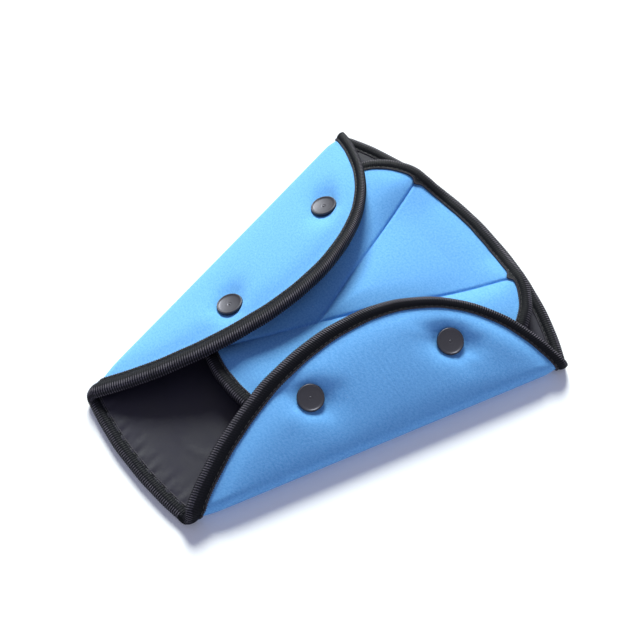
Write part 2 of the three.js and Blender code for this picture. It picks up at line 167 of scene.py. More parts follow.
@dataclass(frozen=True)
class ShellForm:
    """The folded shell: its unfolded outline and how that folds."""

    cloths: Cloths = Cloths()
    mouth_width: float = 90.0
    wide_width: float = 192.0
    length: float = 212.0
    top_bulge: float = 21.0
    mouth_bulge: float = 3.5
    fold_radius: float = 6.2
    neutral_in: float = 1.8
    rise: float = math.radians(27.0)
    curl: float = math.radians(0.13)
    flap_min: float = 0.5
    corner_lead: float = 4.0
    corner_tail: float = 4.0
    lead: tuple[float, float] = (0.4, math.radians(51.0))
    tail: tuple[float, float] = (0.495, math.radians(75.0))
    snap_in: float = 30.3
    snap_near: float = 0.406
    snap_far: float = 0.769
    least_bend: float = 0.45

    @property
    def neutral(self) -> float:
        """Radius at which length across the fold is kept."""
        return self.fold_radius - self.neutral_in

    @property
    def arc(self) -> float:
        """Width of cloth that one fold takes."""
        return (math.pi - self.rise) * self.neutral

    @property
    def centre(self) -> float:
        """The length that lies at y = 0."""
        return (self.length + self.top_bulge - self.mouth_bulge) / 2

    def flat_half(self, y: np.ndarray) -> np.ndarray:
        """Half width of the flat back at a place along the length."""
        widening = (self.wide_width - self.mouth_width) / 2 / self.length
        return self.mouth_width / 2 + widening * y - self.fold_radius

    def past_back(self, places: np.ndarray) -> np.ndarray:
        """How far each flat place lies past the edge of the flat back."""
        return np.abs(places[:, 0]) - self.flat_half(places[:, 1])

    @cached_property
    def edge(self) -> np.ndarray:
        """The right flap's edge in the unfolded panel, from the mouth to the wide end."""
        first, last = self.corner_lead, self.length - self.corner_tail
        start, end = (
            np.array([float(self.flat_half(y)) + self.arc + self.flap_min, y])
            for y in (first, last)
        )
        (near, a), (far, b) = self.lead, self.tail
        lead = start + near * self.length * np.array([math.sin(a), math.cos(a)])
        tail = end + far * self.length * np.array([math.sin(b), -math.cos(b)])
        return bezier([start, lead, tail, end], np.linspace(0.0, 1.0, 1500))

    def place(self, line: np.ndarray, zone: np.ndarray) -> np.ndarray:
        """Places on the unfolded panel.

        Args:
            line: where along the fold line, from 0 to the length.
            zone: 0 to 1 across the flat back, 1 to 2 round the fold, 2 to 3 over the flap;
                negative on the left.

        Returns:
            Rows of distance across and distance along.
        """
        line, zone = np.broadcast_arrays(np.asarray(line, float), np.asarray(zone, float))
        side, reach = np.where(zone < 0, -1.0, 1.0), np.abs(zone)
        flat, turn, flap = (np.clip(reach - k, 0.0, 1.0) for k in range(3))
        wide = np.maximum(0.0, (line / self.length - 0.7) / 0.3) ** 2
        mouth = np.maximum(0.0, (0.2 - line / self.length) / 0.2) ** 2
        bow = (1 - flat * flat) * (self.top_bulge * wide - self.mouth_bulge * mouth)
        y = line + bow + self.corner_lead * turn**2 * mouth - self.corner_tail * turn * wide
        inner = self.flat_half(y) + self.arc
        rim = np.interp(y, self.edge[:, 1], self.edge[:, 0])
        across = self.flat_half(y) * flat + self.arc * turn
        across = np.where(reach > 2, inner + (rim - inner) * flap, across)
        return np.stack([side * across, y], axis=-1)

    def fold(self, places: np.ndarray, depth: np.ndarray | float) -> np.ndarray:
        """Carries places on the unfolded panel into space.

        Args:
            places: rows of distance across and along.
            depth: how far in from the panel's outer face.

        Returns:
            Rows of x, y and z.
        """
        across, y = places[:, 0], places[:, 1]
        depth = np.broadcast_to(np.asarray(depth, float), across.shape)
        side, r, rise = np.where(across < 0, -1.0, 1.0), self.fold_radius, self.rise
        flat = self.flat_half(y)
        past = np.abs(across) - flat
        turn = np.clip(past, 0.0, self.arc) / self.neutral
        left = r - np.minimum(depth, r - self.least_bend)
        slope = rise - self.curl * np.maximum(past - self.arc, 0.0)
        flap_x = flat + r * math.sin(rise) - (math.sin(rise) - np.sin(slope)) / self.curl
        flap_z = r * (1 + math.cos(rise)) + (np.cos(slope) - math.cos(rise)) / self.curl
        over, round_it = past > self.arc, past > 0
        x = np.where(round_it, flat + left * np.sin(turn), np.abs(across))
        z = np.where(round_it, r - left * np.cos(turn), depth)
        x = np.where(over, flap_x - depth * np.sin(slope), x)
        z = np.where(over, flap_z - depth * np.cos(slope), z)
        return np.stack([side * x, y - self.centre, z], axis=-1)

    @cached_property
    def outline(self) -> np.ndarray:
        """The whole outline of the unfolded panel, counter-clockwise from the mouth's middle."""
        steps = np.linspace(0.0, 2.0, 240)
        mouth, wide = self.place(0.0, steps), self.place(self.length, steps)
        right = np.concatenate([mouth, self.edge[1:-1], wide[::-1]])
        left = right[-2:0:-1] * [-1.0, 1.0]
        return np.concatenate([right, left])

    @cached_property
    def snaps(self) -> list["SnapSeat"]:
        """The seats of the four snaps."""
        seats = []
        for place, share in (("near", self.snap_near), ("far", self.snap_far)):
            for hand, side in (("left", -1.0), ("right", 1.0)):
                y = share * self.length
                across = side * (float(self.flat_half(y)) + self.arc + self.snap_in)
                seats.append(SnapSeat(f"{hand}_{place}", np.array([across, y]), self))
        return seats

    def under_flap(self, x: np.ndarray, y: np.ndarray, depth: float) -> np.ndarray:
        """Height of the flap's form some depth below its outer face."""
        rise = self.rise
        reach = (self.flat_half(y) + self.fold_radius * math.sin(rise) - np.abs(x)) * self.curl
        slope = np.arcsin(np.clip(math.sin(rise) - reach, -0.999, 0.999))
        z = self.fold_radius * (1 + math.cos(rise)) + (np.cos(slope) - math.cos(rise)) / self.curl
        return z - depth / np.cos(slope)


@dataclass(frozen=True)
class SnapSeat:
    """Where one snap goes through the flap."""

    name: str
    place: np.ndarray
    form: ShellForm

    @cached_property
    def matrix(self) -> Matrix:
        """Snap frame to space: origin on the flap's outer face, Z out of it."""
        spots = np.array([self.place, self.place, self.place + [0.0, 1.0]])
        origin, inner, ahead = self.form.fold(spots, np.array([0.0, 1.0, 0.0]))
        lean = unit(origin - ahead)
        out = unit((origin - inner) - lean * ((origin - inner) @ lean))
        turn = Vector((0, 0, 1)).rotation_difference(Vector(out))
        return Matrix.LocRotScale(Vector(origin), turn, None)

    def at(self, height: float) -> tuple[np.ndarray, np.ndarray]:
        """A point on the snap's axis, and the axis."""
        spot = self.matrix @ Vector((0, 0, height))
        return np.array(spot), np.array(self.matrix.col[2][:3])


@dataclass(frozen=True)
class PadForm:
    """The centre pad: its outline in plan and the height of its top face."""

    shell: ShellForm = ShellForm()
    level: float = 20.0
    level_end: float = 11.6
    lift: float = 4.6
    start: float = 0.271
    past: float = 13.0
    shoulder: float = 30.0
    inset: float = 3.5
    fall: float = 74.0
    blend: float = 3.0
    seat_flat: float = 3.4
    seat_fade: float = 10.0
    drop: float = 6.3
    notch_half: float = 39.5
    seam_cross: float = 0.557
    seam_run: float = 0.46
    seat_depth: float = -8.05
    socket_radius: float = 5.6
    lower_corner: float = 0.16
    upper_corner: float = 0.79

    def off_sockets(self, places: np.ndarray) -> list[np.ndarray]:
        """How far each place in plan lies outside each snap's socket."""
        middles = [snap.at(self.seat_depth)[0][:2] for snap in self.shell.snaps]
        shift = [0.0, self.shell.centre]
        return [np.hypot(*(places - spot - shift).T) - self.socket_radius for spot in middles]

    def height(self, x: np.ndarray, y: np.ndarray) -> np.ndarray:
        """Height of the pad's top face before seams and the squeeze at its edge."""
        shell = self.shell
        fall = ease((y - shell.length + self.fall) / (self.fall + shell.corner_tail))
        wings = ease((2 * np.abs(x) - self.notch_half) / (1.3 * self.notch_half))
        level = self.level + (self.level_end + self.lift * wings - self.level) * fall
        under = shell.under_flap(x, np.minimum(y, shell.length), self.drop)
        z = (level + under - np.hypot(level - under, self.blend)) / 2
        for snap in shell.snaps:
            seat, out = snap.at(self.seat_depth)
            dx, dy = x - seat[0], y - shell.centre - seat[1]
            plane = seat[2] - (out[0] * dx + out[1] * dy) / out[2]
            share = (np.hypot(dx, dy) - self.socket_radius - self.seat_flat) / self.seat_fade
            z = plane + (z - plane) * ease(share)
        return z

    def fold(self, places: np.ndarray, depth: np.ndarray | float) -> np.ndarray:
        """Carries places in plan on to the pad, some depth below its top face."""
        x, y = places[:, 0], places[:, 1]
        step = 0.5
        dx = (self.height(x + step, y) - self.height(x - step, y)) / (2 * step)
        dy = (self.height(x, y + step) - self.height(x, y - step)) / (2 * step)
        normal = unit(np.stack([-dx, -dy, np.ones_like(dx)], axis=-1))
        top = np.stack([x, y - self.shell.centre, self.height(x, y)], axis=-1)
        return top - normal * np.broadcast_to(np.asarray(depth, float), x.shape)[:, None]

    @cached_property
    def curve(self) -> list[np.ndarray]:
        """Right half of the outline in plan as four runs, from the lower end to the wide edge."""
        shell = self.shell
        near, far = (
            shell.fold(snap.place[None], 0.0)[0][:2] + [self.past, shell.centre]
            for snap in shell.snaps
            if snap.place[0] > 0
        )
        back = shell.length - self.shoulder
        shoulder = near + (far - near) * (back - near[1]) / (far[1] - near[1])
        top = shell.length + shell.top_bulge - self.inset
        notch = np.array([self.notch_half, shell.length + 0.6 * shell.top_bulge])
        start = self.start * shell.length
        low = [
            np.array([0.0, start]),
            np.array([near[0] / 2, start]),
            np.array([0.84 * near[0], start + 0.32 * (near[1] - start)]),
            near,
        ]
        wing = [
            shoulder,
            np.array([1.07 * shoulder[0], shell.length - 0.3 * self.shoulder]),
            np.array([1.42 * self.notch_half, notch[1] - 0.4 * self.inset]),
            notch,
        ]
        ends = np.array([notch, [notch[0] / 2, top], [0.0, top]])
        t = np.linspace(0.0, 1.0, 120)
        s = t[:, None]
        arch = ends[0] * (1 - s) ** 2 + 2 * ends[1] * s * (1 - s) + ends[2] * s**2
        return [bezier(low, t), near + (shoulder - near) * s, bezier(wing, t), arch]

    def rim(self, share: np.ndarray) -> np.ndarray:
        """Places on the right half of the outline, by share of its length."""
        run = np.concatenate([self.curve[0], *(part[1:] for part in self.curve[1:])])
        gone = run_lengths(run)
        share = np.clip(share, 0.0, 1.0) * gone[-1]
        return np.stack([np.interp(share, gone, run[:, k]) for k in (0, 1)], axis=-1)

    def place(self, s: np.ndarray, t: np.ndarray) -> np.ndarray:
        """Places in plan from s across, -1 to 1, and t along, 0 to 1."""
        side, w = np.where(s < 0, -1.0, 1.0), np.abs(s)
        low = self.rim(self.lower_corner * w)
        high = self.rim(1 - (1 - self.upper_corner) * w)
        rim = self.rim(self.lower_corner + (self.upper_corner - self.lower_corner) * t)
        a, b = self.rim(np.array([self.lower_corner, self.upper_corner]))
        w, t = w[:, None], t[:, None]
        spots = low * (1 - t) + high * t - w * (a * (1 - t) + b * t) + w * rim
        return spots * np.stack([side, np.ones_like(side)], axis=-1)

    @cached_property
    def outline(self) -> np.ndarray:
        """The whole outline in plan, counter-clockwise from the lower end."""
        right = self.rim(np.linspace(0.0, 1.0, 500))
        return np.concatenate([right, right[-2:0:-1] * [-1.0, 1.0]])

    @cached_property
    def seams(self) -> list[np.ndarray]:
        """The two quilting seams in plan, each from the wide edge down."""
        shell = self.shell
        cross = np.array([0.0, self.seam_cross * shell.length])
        top = shell.length + shell.top_bulge
        right, left = np.array([self.notch_half, top]), np.array([-self.notch_half, top])
        slope = (shell.length + 0.29 * shell.top_bulge - cross[1]) / self.notch_half
        right[1] = left[1] = cross[1] + slope * self.notch_half
        return [
            np.array([right, cross - (right - cross) * self.seam_run]),
            np.array([left, cross]),
        ]


def new_object(name: str, bm: bmesh.types.BMesh, smooth: bool = True) -> bpy.types.Object:
    """Writes a bmesh to a new object at the origin.

    Args:
        name: the piece's name.
        bm: the mesh in metres; it is freed.
        smooth: whether its faces are shaded smooth.

    Returns:
        The object, linked to the scene.
    """
    mesh = bpy.data.meshes.new(name)
    bm.to_mesh(mesh)
    bm.free()
    for polygon in mesh.polygons:
        polygon.use_smooth = smooth
    piece = bpy.data.objects.new(name, mesh)
    bpy.context.scene.collection.objects.link(piece)
    return piece


def points_of(piece: bpy.types.Object) -> np.ndarray:
    """The vertices of a mesh object, one row each."""
    flat = np.zeros(len(piece.data.vertices) * 3)
    piece.data.vertices.foreach_get("co", flat)
    return flat.reshape(-1, 3)


def finish_piece(
    piece: bpy.types.Object, material: bpy.types.Material, slot: Slot, nodes: Sequence[str] = ()
) -> bpy.types.Object:
    """Gives a piece its material and its body, and hides the CAD nodes that it stands for."""
    piece.data.materials.clear()
    piece.data.materials.append(material)
    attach(piece, BODY)
    if nodes:
        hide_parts(*nodes)
    LOG.info("%s: %d faces", piece.name, len(piece.data.polygons))
    return piece


class PanelMesh:
    """A cloth or foam panel laid out on a grid and folded into space."""

    def __init__(self, form: ShellForm | PadForm, columns: int, rows: int) -> None:
        """Starts the flat grid.

        Args:
            form: where the panel's places go in space.
            columns: cells across.
            rows: cells along.
        """
        self.form = form
        self.bm = bmesh.new()
        bmesh.ops.create_grid(self.bm, x_segments=columns, y_segments=rows, size=1.0)
        self.spot = self.bm.verts.layers.float_vector.new("spot")
        self.uv = self.bm.loops.layers.uv.new("cloth")

    def lay(self, place: Callable[[np.ndarray, np.ndarray], np.ndarray]) -> None:
        """Moves the grid to flat places, given by its own -1 to 1 coordinates."""
        grid = np.array([vert.co[:2] for vert in self.bm.verts])
        for vert, (x, y) in zip(self.bm.verts, place(grid[:, 0], grid[:, 1])):
            vert.co = (x, y, 0.0)

    def crease_along(self, line: np.ndarray, snap_to: float, strip: float) -> None:
        """Cuts the flat mesh along a seam, and beside it, so that edges follow it.

        Args:
            line: the seam's two ends.
            snap_to: corners this near the seam are moved on to it.
            strip: how far from the seam the two cuts beside it lie.
        """
        start, span = line[0], line[1] - line[0]
        size = float(np.linalg.norm(span))
        along = span / size
        across = np.array([-along[1], along[0]])
        for vert in self.bm.verts:
            away = np.array(vert.co[:2]) - start
            gone, off = away @ along, away @ across
            if -snap_to < gone < size + snap_to and abs(off) < snap_to:
                gone = min(max(gone, 0.0), size) if size - gone < snap_to * 0.9 else gone
                vert.co = (*(start + along * gone), 0.0)
        for shift in (0.0, -strip, strip):
            faces = [
                face
                for face in self.bm.faces
                if -snap_to < (np.array(face.calc_center_median()[:2]) - start) @ along < size
            ]
            parts = set(faces)
            parts.update(edge for face in faces for edge in face.edges)
            parts.update(vert for face in faces for vert in face.verts)
            bmesh.ops.bisect_plane(
                self.bm, geom=list(parts), dist=0.15,
                plane_co=(*(start + across * shift), 0.0), plane_no=(*across, 0.0),
            )

    def remember(self) -> None:
        """Keeps each corner's flat place, and writes it as the cloth's UV map in metres."""
        for vert in self.bm.verts:
            vert[self.spot] = (vert.co.x, vert.co.y, 0.0)
        for face in self.bm.faces:
            for loop in face.loops:
                loop[self.uv].uv = (loop.vert.co.x * MM, loop.vert.co.y * MM)

    def thicken(self) -> None:
        """Doubles the sheet into an outer and an inner skin joined round the rim."""
        made = bmesh.ops.extrude_face_region(self.bm, geom=self.bm.faces[:])
        for item in made["geom"]:
            if isinstance(item, bmesh.types.BMVert):
                spot = item[self.spot]
                item[self.spot] = (spot.x, spot.y, 1.0)

    def spots(self) -> tuple[np.ndarray, np.ndarray]:
        """Each corner's flat place, and whether it is on the inner skin."""
        table = np.array([vert[self.spot][:] for vert in self.bm.verts])
        return table[:, :2], table[:, 2] > 0.5

    def fold(self, depth: np.ndarray) -> None:
        """Carries every corner into space at its depth."""
        places, _ = self.spots()
        for vert, point in zip(self.bm.verts, self.form.fold(places, depth)):
            vert.co = point * MM
        bmesh.ops.recalc_face_normals(self.bm, faces=self.bm.faces[:])


@dataclass(frozen=True)
class ClothRecipe:
    """How a panel is let settle by simulation."""

    pressure: float = 4.0
    tension: float = 12.0
    bending: float = 4.0
    shrink: float = 0.0
    frames: int = 20
    mass: float = 0.3
    quality: int = 6
    damping: float = 15.0
    air: float = 6.0


def settle(
    piece: bpy.types.Object,
    held: np.ndarray,
    pushed: np.ndarray,
    limit: np.ndarray,
    recipe: ClothRecipe,
    way: np.ndarray | None = None,
) -> None:
    """Lets a panel swell as cloth under pressure, with no gravity, and keeps the result.

    Args:
        piece: the panel; its mesh takes the settled shape.
        held: how firmly each point is held, 0 to 1.
        pushed: how much of the pressure each point takes, 0 to 1.
        limit: the most that each point may move, in mm.
        recipe: the simulation's settings.
        way: the only way that each point may move, if it lies against something.
    """
    for name, weights in (("held", held), ("pushed", pushed)):
        group = piece.vertex_groups.new(name=name)
        for index, weight in enumerate(weights):
            group.add([index], float(weight), "REPLACE")
    cloth = piece.modifiers.new("settle", "CLOTH")
    settings = cloth.settings
    settings.quality = recipe.quality
    settings.mass = recipe.mass
    settings.tension_stiffness = settings.compression_stiffness = recipe.tension
    settings.shear_stiffness = recipe.tension / 2
    settings.bending_stiffness = recipe.bending
    for name in ("tension_damping", "compression_damping", "shear_damping"):
        setattr(settings, name, recipe.damping)
    settings.air_damping = recipe.air
    settings.vertex_group_mass = "held"
    settings.use_pressure = True
    settings.uniform_pressure_force = recipe.pressure
    settings.vertex_group_pressure = "pushed"
    settings.shrink_min = recipe.shrink
    settings.effector_weights.gravity = 0.0
    cloth.collision_settings.use_collision = False
    cloth.point_cache.frame_start, cloth.point_cache.frame_end = 1, recipe.frames
    before = points_of(piece)
    scene = bpy.context.scene
    for number in range(1, recipe.frames + 1):
        scene.frame_set(number)
    shown = piece.evaluated_get(bpy.context.evaluated_depsgraph_get())
    after = np.zeros(len(before) * 3)
    shown.data.vertices.foreach_get("co", after)
    moved = after.reshape(-1, 3) - before
    if way is not None:
        moved = way * np.maximum((moved * way).sum(1, keepdims=True), 0.0)
    size = np.linalg.norm(moved, axis=1)
    LOG.info("%s settles by up to %.2f mm", piece.name, size.max() / MM)
    share = np.minimum(1.0, limit * MM / np.maximum(size, 1e-9))
    piece.modifiers.remove(cloth)
    piece.vertex_groups.clear()
    piece.data.vertices.foreach_set("co", (before + moved * share[:, None]).ravel())
    piece.data.update()
    scene.frame_set(1)


def thicken(piece: bpy.types.Object, thickness: float) -> None:
    """Adds a Solidify modifier that gives a sheet its thickness, in mm, towards the foam."""
    solid = piece.modifiers.new("thickness", "SOLIDIFY")
    solid.thickness = thickness * MM
    solid.offset = -1.0


def subdivide(piece: bpy.types.Object, levels: int = 1) -> None:
    """Adds a Subdivision Surface modifier, with its map kept smooth."""
    smooth = piece.modifiers.new("fine", "SUBSURF")
    smooth.levels = smooth.render_levels = levels
    smooth.boundary_smooth = "PRESERVE_CORNERS"


class NodeBench:
    """Places and joins the nodes of one material or group."""

    def __init__(self, tree: bpy.types.NodeTree) -> None:
        """Keeps the tree that nodes go into."""
        self.tree = tree

    def add(self, kind: str, **settings: object) -> bpy.types.Node:
        """Adds a node and sets its properties."""
        node = self.tree.nodes.new(kind)
        for name, value in settings.items():
            setattr(node, name, value)
        return node

    def feed(self, socket: bpy.types.NodeSocket, value: object) -> None:
        """Joins a socket to another, or sets its number."""
        if isinstance(value, bpy.types.NodeSocket):
            self.tree.links.new(value, socket)
        else:
            socket.default_value = value

    def wire(self, node: bpy.types.Node, **values: object) -> None:
        """Feeds a node's inputs by name; underscores in a name stand for spaces."""
        for name, value in values.items():
            self.feed(node.inputs[name.replace("_", " ")], value)

    def math(self, operation: str, *values: object, clamp: bool = False) -> bpy.types.NodeSocket:
        """A Math node's result."""
        node = self.add("ShaderNodeMath", operation=operation, use_clamp=clamp)
        for socket, value in zip(node.inputs, values):
            self.feed(socket, value)
        return node.outputs[0]

    def vector(self, operation: str, *values: object) -> bpy.types.NodeSocket:
        """A Vector Math node's vector."""
        node = self.add("ShaderNodeVectorMath", operation=operation)
        slots = [s for s in node.inputs if s.enabled]
        for socket, value in zip(slots, values):
            self.feed(socket, value)
        return node.outputs[0]

    def ramp(
        self, value: bpy.types.NodeSocket, low: object, high: object, to_low: float, to_high: float
    ) -> bpy.types.NodeSocket:
        """A value carried smoothly from one range to another."""
        node = self.add("ShaderNodeMapRange", interpolation_type="SMOOTHSTEP")
        self.wire(node, Value=value, From_Min=low, From_Max=high, To_Min=to_low, To_Max=to_high)
        return node.outputs["Result"]

    def noise(
        self, place: bpy.types.NodeSocket, scale: object, detail: float = 2.0, rough: float = 0.5
    ) -> bpy.types.NodeSocket:
        """A Noise Texture's value."""
        node = self.add("ShaderNodeTexNoise")
        self.wire(node, Vector=place, Scale=scale, Detail=detail, Roughness=rough)
        return node.outputs[0]

    def mix(
        self, share: object, first: object, second: object, blend: str = "MIX"
    ) -> bpy.types.NodeSocket:
        """A colour mix."""
        node = self.add("ShaderNodeMix", data_type="RGBA", blend_type=blend)
        self.feed(node.inputs[0], share)
        self.feed(node.inputs[6], first)
        self.feed(node.inputs[7], second)
        return node.outputs[2]

    def bump(
        self, height: bpy.types.NodeSocket, strength: float, distance: float,
        normal: bpy.types.NodeSocket | None = None,
    ) -> bpy.types.NodeSocket:
        """A Bump node's normal, with its distance in mm."""
        node = self.add("ShaderNodeBump")
        self.wire(node, Height=height, Strength=strength, Distance=distance * MM)
        if normal is not None:
            self.feed(node.inputs["Normal"], normal)
        return node.outputs["Normal"]

    def group(self, tree: bpy.types.NodeTree, **values: object) -> bpy.types.Node:
        """Places a node group; underscores in a name stand for spaces."""
        node = self.add("ShaderNodeGroup", node_tree=tree)
        self.wire(node, **values)
        return node


def start_group(
    name: str, inputs: Sequence[tuple[str, str, float]], outputs: Sequence[tuple[str, str]]
) -> tuple[NodeBench, bpy.types.Node, bpy.types.Node]:
    """Makes a shader node group with named sockets.

    Args:
        name: the group's name.
        inputs: name, kind and first value of each input.
        outputs: name and kind of each output.

    Returns:
        The bench, and the group's input and output nodes.
    """
    tree = bpy.data.node_groups.new(name, "ShaderNodeTree")
    for label, kind, value in inputs:
        socket = tree.interface.new_socket(label, in_out="INPUT", socket_type=f"NodeSocket{kind}")
        if kind == "Float":
            socket.default_value = value
    for label, kind in outputs:
        tree.interface.new_socket(label, in_out="OUTPUT", socket_type=f"NodeSocket{kind}")
    bench = NodeBench(tree)
    return bench, bench.add("NodeGroupInput"), bench.add("NodeGroupOutput")


class Effects:
    """The shader node groups that more than one finish uses, each built once."""

    @cached_property
    def knit(self) -> bpy.types.NodeTree:
        """Rows of small V-shaped loops; pitches are in metres on the cloth's map."""
        bench, source, result = start_group(
            "knit_loops",
            [("Vector", "Vector", 0), ("Wale", "Float", 0.001), ("Course", "Float", 0.001),
             ("Jitter", "Float", 0.2)],
            [("Height", "Float"), ("Gaps", "Float")],
        )
        parts = bench.add("ShaderNodeSeparateXYZ")
        bench.feed(parts.inputs[0], source.outputs["Vector"])
        drift = bench.noise(source.outputs["Vector"], 900.0, 1.0)
        drift = bench.math("MULTIPLY", bench.math("SUBTRACT", drift, 0.5), source.outputs["Jitter"])
        wale = bench.math("DIVIDE", parts.outputs[0], source.outputs["Wale"])
        wale = bench.math("FRACT", bench.math("ADD", wale, drift))
        off = bench.math("ABSOLUTE", bench.math("SUBTRACT", wale, 0.5))
        course = bench.math("DIVIDE", parts.outputs[1], source.outputs["Course"])
        course = bench.math("ADD", bench.math("ADD", course, drift), off)
        loop = bench.math("SINE", bench.math("MULTIPLY", course, 2 * math.pi))
        loop = bench.math("MULTIPLY_ADD", loop, 0.35, 0.65)
        column = bench.ramp(off, 0.5, 0.12, 0.0, 1.0)
        centre = bench.ramp(off, 0.0, 0.14, 0.55, 1.0)
        height = bench.math("MULTIPLY", bench.math("MULTIPLY", column, centre), loop)
        bench.wire(result, Height=height, Gaps=bench.ramp(height, 0.05, 0.5, 1.0, 0.0))
        return bench.tree

    @cached_property
    def weave(self) -> bpy.types.NodeTree:
        """Plain over-and-under weave; the pitch is in metres on the cloth's map."""
        bench, source, result = start_group(
            "plain_weave",
            [("Vector", "Vector", 0), ("Pitch", "Float", 0.001)],
            [("Height", "Float")],
        )
        parts = bench.add("ShaderNodeSeparateXYZ")
        bench.feed(parts.inputs[0], source.outputs["Vector"])
        waves = []
        for axis in (0, 1):
            turn = bench.math("DIVIDE", parts.outputs[axis], source.outputs["Pitch"])
            waves.append(bench.math("SINE", bench.math("MULTIPLY", turn, math.pi)))
        over = bench.math("MULTIPLY_ADD", bench.math("MULTIPLY", *waves), 0.5, 0.5)
        warp = bench.math("MULTIPLY", bench.math("ABSOLUTE", waves[0]), over)
        under = bench.math("SUBTRACT", 1.0, over)
        weft = bench.math("MULTIPLY", bench.math("ABSOLUTE", waves[1]), under)
        bench.wire(result, Height=bench.math("MAXIMUM", warp, weft))
        return bench.tree

    @cached_property
    def mottle(self) -> bpy.types.NodeTree:
        """Uneven dye and handling: a soft mask, and a mask of fine lint."""
        bench, source, result = start_group(
            "uneven_cloth",
            [("Vector", "Vector", 0), ("Broad", "Float", 40.0), ("Fine", "Float", 900.0)],
            [("Tone", "Float"), ("Lint", "Float")],
        )
        place = source.outputs["Vector"]
        broad = bench.noise(place, source.outputs["Broad"], 3.0, 0.55)
        fine = bench.noise(place, source.outputs["Fine"], 2.0, 0.6)
        tone = bench.math("MULTIPLY_ADD", broad, 0.6, bench.math("MULTIPLY", fine, 0.4))
        speck = bench.add("ShaderNodeTexVoronoi", feature="F1")
        bench.wire(speck, Vector=place, Scale=260.0)
        dots = bench.ramp(speck.outputs["Distance"], 0.04, 0.1, 1.0, 0.0)
        where = bench.ramp(bench.noise(place, 55.0, 2.0), 0.58, 0.66, 0.0, 1.0)
        bench.wire(
            result, Tone=bench.ramp(tone, 0.35, 0.65, 0.0, 1.0),
            Lint=bench.math("MULTIPLY", dots, where),
        )
        return bench.tree

    @cached_property
    def handled(self) -> bpy.types.NodeTree:
        """Handled plastic: smears and fine scratches in its gloss."""
        bench, source, result = start_group(
            "handled_gloss",
            [("Vector", "Vector", 0), ("Scale", "Float", 120.0)],
            [("Smear", "Float"), ("Scratch", "Float")],
        )
        place = source.outputs["Vector"]
        smear = bench.noise(place, source.outputs["Scale"], 4.0, 0.6)
        long = bench.vector("MULTIPLY", place, (2600.0, 90.0, 2600.0))
        lines = bench.noise(long, 1.0, 2.0, 0.5)
        bench.wire(
            result, Smear=bench.ramp(smear, 0.3, 0.7, 0.0, 1.0),
            Scratch=bench.ramp(lines, 0.66, 0.74, 0.0, 1.0),
        )
        return bench.tree


@dataclass(frozen=True)
class Finish:
    """What every finish shares: the effects, a bare material and how specks lie on it."""

    effects: Effects
    name: str = "finish"

    def start(self) -> tuple[NodeBench, bpy.types.Node, bpy.types.Material]:
        """Makes a bare material.

        Returns:
            Its bench, its Principled BSDF and the material.
        """
        material = bpy.data.materials.new(self.name)
        material.use_nodes = True
        bench = NodeBench(material.node_tree)
        return bench, material.node_tree.nodes["Principled BSDF"], material

    def specked(
        self, bench: NodeBench, uneven: bpy.types.Node, base: bpy.types.NodeSocket,
        share: float, colour: tuple[float, float, float],
    ) -> bpy.types.NodeSocket:
        """A base colour with specks of lint or dust on it.

        Args:
            bench: the material's bench.
            uneven: the material's uneven_cloth group.
            base: the colour under the specks.
            share: how far a speck hides it, 0 to 1.
            colour: the specks' own colour.

        Returns:
            The colour with its specks.
        """
        specks = bench.math("MULTIPLY", uneven.outputs["Lint"], share)
        return bench.mix(specks, base, (*colour, 1.0))


@dataclass(frozen=True)
class KnitFinish(Finish):
    """Light blue knit bonded to foam, with painted shade in the gaps between its loops; pitches in
    mm.
    """

    name: str = "blue_knit"
    colour: tuple[float, float, float] = (0.205, 0.516, 0.93)
    deep: tuple[float, float, float] = (0.116, 0.367, 0.8)
    lint: tuple[float, float, float] = (0.75, 0.9, 1.0)
    lint_share: float = 0.25
    gap_shade: float = 0.22
    tone_shade: float = 0.75
    rough: tuple[float, float] = (0.78, 0.9)
    wale: float = 0.62
    course: float = 0.5
    jitter: float = 0.35
    relief: float = 0.15
    fuzz_relief: float = 0.08
    sheen: float = 0.12

    def make(self) -> bpy.types.Material:
        """Builds the material."""
        bench, shader, material = self.start()
        cloth = bench.add("ShaderNodeUVMap", uv_map="cloth").outputs[0]
        knit = bench.group(
            self.effects.knit, Vector=cloth, Wale=self.wale * MM, Course=self.course * MM,
            Jitter=self.jitter,
        )
        uneven = bench.group(self.effects.mottle, Vector=cloth, Broad=850.0, Fine=1500.0)
        # The gaps between the loops are darkened towards deep: painted shade in those recesses; the
        # uneven tone added to it is the dye's own.
        shade = bench.math("MULTIPLY", knit.outputs["Gaps"], self.gap_shade)
        shade = bench.math("MULTIPLY_ADD", uneven.outputs["Tone"], self.tone_shade, shade)
        base = bench.mix(shade, (*self.colour, 1.0), (*self.deep, 1.0))
        fuzz = bench.noise(cloth, 2400.0, 2.0, 0.6)
        soft = bench.bump(fuzz, 0.35, self.fuzz_relief)
        bench.wire(
            shader,
            Base_Color=self.specked(bench, uneven, base, self.lint_share, self.lint),
            Roughness=bench.ramp(uneven.outputs["Tone"], 0.0, 1.0, *self.rough),
            Normal=bench.bump(knit.outputs["Height"], 0.8, self.relief, soft),
            Sheen_Weight=self.sheen, Sheen_Roughness=0.45, Sheen_Tint=(*self.lint, 1.0),
            Specular_IOR_Level=0.25,
        )
        return material


